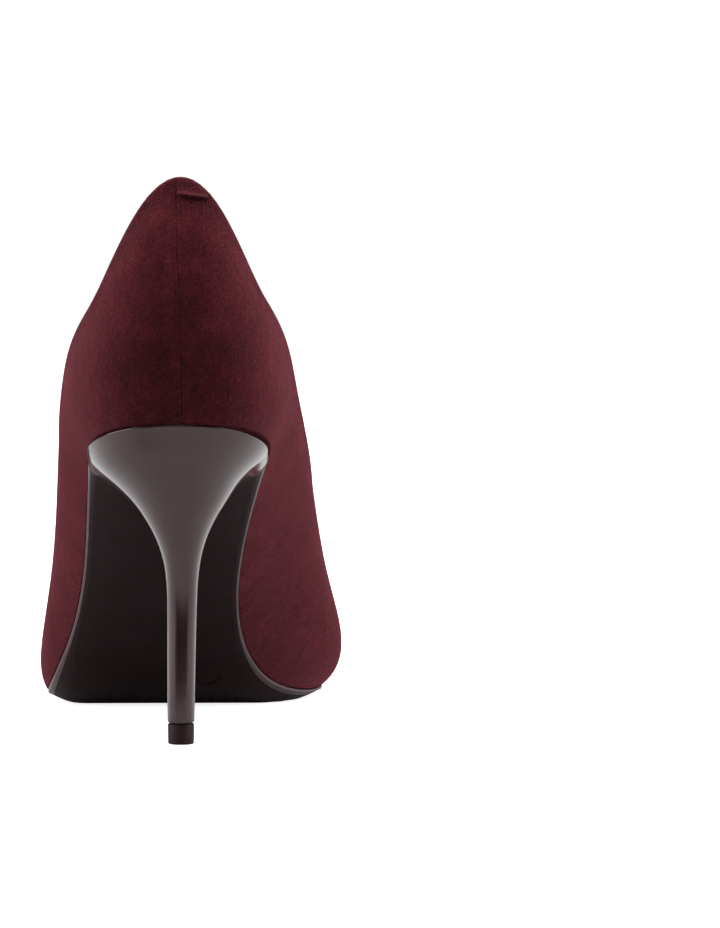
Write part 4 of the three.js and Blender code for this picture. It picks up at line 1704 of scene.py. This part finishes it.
@dataclass
class Studio:
    """The pale floor, the lights and the camera."""

    distance: float = 1600.0
    eye_height: float = 160.0
    aim_x: float = 47.9
    aim_z: float = 75.2
    lens: float = 232.8
    glow: float = 0.8
    floor_reach: float = 4.2
    wall_bend: float = 0.8
    wall_height: float = 5.0
    table_rings: tuple = (
        0, 0.04, 0.08, 0.12, 0.13, 0.14, 0.15, 0.16, 0.17, 0.18, 0.2, 0.3, 0.45,
    )  # fmt: skip
    dim_reach: tuple = (0.12, 0.2)
    dim_spread: tuple = (34, 72)

    def build(self) -> None:
        """Sets up the whole studio."""
        self.build_floor()
        self.build_lights()
        self.build_camera()

    def lathe(
        self, name: str, profile: Sequence[tuple[float, float]], finish: bpy.types.Material
    ) -> bpy.types.Object:
        """Turns a profile round the upright axis into one stage surface.

        Args:
            name: The surface's name.
            profile: Radius and height of each ring, in metres.
            finish: Its material.

        Returns:
            The object.
        """
        count = 128
        turn = 2 * math.pi * np.arange(count) / count
        points = [(r * math.cos(a), r * math.sin(a), z) for r, z in profile for a in turn]
        mesh = bpy.data.meshes.new(name)
        mesh.from_pydata(points, [], tube_faces(len(profile), count))
        mesh.shade_smooth()
        mesh.materials.append(finish)
        surface = add_object(name, mesh)
        surface.visible_glossy = False
        surface.visible_diffuse = False
        return surface

    def build_floor(self) -> None:
        """Builds a round floor and the curved wall that closes it on every side."""
        n = Nodes("floor_finish")
        soft = n.noise(60, 2)
        n.colour(n.ramp(soft, (0.3, (0.86, 0.86, 0.86)), (0.7, (0.88, 0.88, 0.88))))
        n.set(
            Roughness=0.9,
            Specular_IOR_Level=0.1,
            Emission_Color=(1, 1, 1, 1),
            Emission_Strength=self.glow,
        )
        reach, bend = self.floor_reach, self.wall_bend
        self.lathe("studio_floor", [(0.0, 0.0), (1.0, 0.0), (reach, 0.0)], n.material)
        profile = [(reach, 0.0)]
        for k in range(1, 13):
            a = math.pi / 2 * k / 12
            profile.append((reach + bend * math.sin(a), bend - bend * math.cos(a)))
        profile.append((reach + bend, self.wall_height))
        wall = self.lathe("studio_wall", profile, n.material)
        wall.visible_shadow = False
        self.build_table()

    def build_table(self) -> None:
        """Lays the patch of floor that the gloss of the shoe mirrors.

        It darkens softly away from the heel on the viewer's side.
        """
        stem = to_frame(np.array([0.0, STEM_Y, 0.2]))
        count = 96
        turn = 2 * math.pi * np.arange(count) / count
        aside = np.abs(np.degrees(np.arctan2(np.sin(turn), np.cos(turn))))
        points, shades = [], []
        for r in self.table_rings:
            fade = smooth(r, *self.dim_reach) * (1 - smooth(aside, *self.dim_spread))
            for angle, dim in zip(turn, fade):
                x, y = stem[0] + r * math.sin(angle), stem[1] - r * math.cos(angle)
                points.append((x, y, stem[2]))
                shades.append(0.68 * (1 - dim) + 0.012)
        mesh = bpy.data.meshes.new("studio_table")
        mesh.from_pydata(points, [], tube_faces(len(self.table_rings), count))
        layer = mesh.color_attributes.new(name="shade", type="FLOAT_COLOR", domain="POINT")
        layer.data.foreach_set("color", np.repeat(np.array(shades), 4))
        n = Nodes("table_finish")
        shade = n.add("ShaderNodeAttribute", attribute_name="shade")
        n.colour(shade.outputs["Color"])
        n.set(Roughness=0.9, Specular_IOR_Level=0.0)
        mesh.materials.append(n.material)
        table = add_object("studio_table", mesh)
        table.visible_camera = False
        table.visible_diffuse = False
        table.visible_shadow = False

    def light(
        self,
        name: str,
        place: tuple[float, float, float],
        size: tuple[float, float],
        power: float,
        aim: tuple[float, float, float] = (0.0, -0.05, 0.07),
    ) -> None:
        """Hangs one soft light.

        Args:
            name: The light's name.
            place: Where it hangs, in metres.
            size: Its width and height.
            power: Its power in watts.
            aim: The point it faces.
        """
        data = bpy.data.lights.new(name, "AREA")
        data.shape = "RECTANGLE"
        data.size, data.size_y = size
        data.energy = power
        self.point(add_object(name, data), place, aim)

    def point(
        self, obj: bpy.types.Object, place: Sequence[float], aim: Sequence[float]
    ) -> None:
        """Places a light or the camera and turns it to what it faces."""
        obj.location = place
        turn = (Vector(aim) - Vector(place)).to_track_quat("-Z", "Y")
        obj.rotation_euler = turn.to_euler()

    def build_lights(self) -> None:
        """Hangs the lights and sets the surroundings."""
        self.light("left_window", (-1.0, -0.15, 0.4), (1.0, 1.0), 12)
        self.light("right_window", (1.0, -0.15, 0.4), (1.0, 1.0), 12)
        self.light("top_window", (0.0, -0.1, 1.4), (1.4, 1.2), 17)
        self.light("camera_fill", (0.1, -1.9, 0.9), (0.9, 0.6), 3)
        self.light("backdrop_window", (0.0, 1.2, 1.6), (2.2, 1.4), 34, (0.0, 1.9, 0.1))
        world = bpy.data.worlds.new("studio_air")
        world.use_nodes = True
        air = world.node_tree.nodes["Background"]
        air.inputs["Color"].default_value = (1, 1, 1, 1)
        air.inputs["Strength"].default_value = 0.12
        bpy.context.scene.world = world
        bpy.context.scene.view_settings.view_transform = "Standard"

    def build_camera(self) -> None:
        """Sets the camera low behind the heel, with the shoe left of the middle."""
        heel_y = 17.0
        place = to_frame(np.array([0.0, heel_y - self.distance, self.eye_height]))
        aim = to_frame(np.array([self.aim_x, heel_y, self.aim_z]))
        data = bpy.data.cameras.new("view_from_behind")
        data.lens = self.lens
        data.sensor_width = 36
        data.clip_start = 0.01
        camera = add_object("view_from_behind", data)
        self.point(camera, place, aim)
        bpy.context.scene.camera = camera


def main() -> None:
    """Builds the shoe and the studio."""
    logging.basicConfig(level=logging.INFO, format="%(name)s %(message)s")
    for part in (Upper(), Lining(), Footbed(), Outsole(), Heel(), Studio()):
        part.build()
    HiddenParts().dress()
    bpy.context.view_layer.update()


if __name__ == "__main__":
    main()
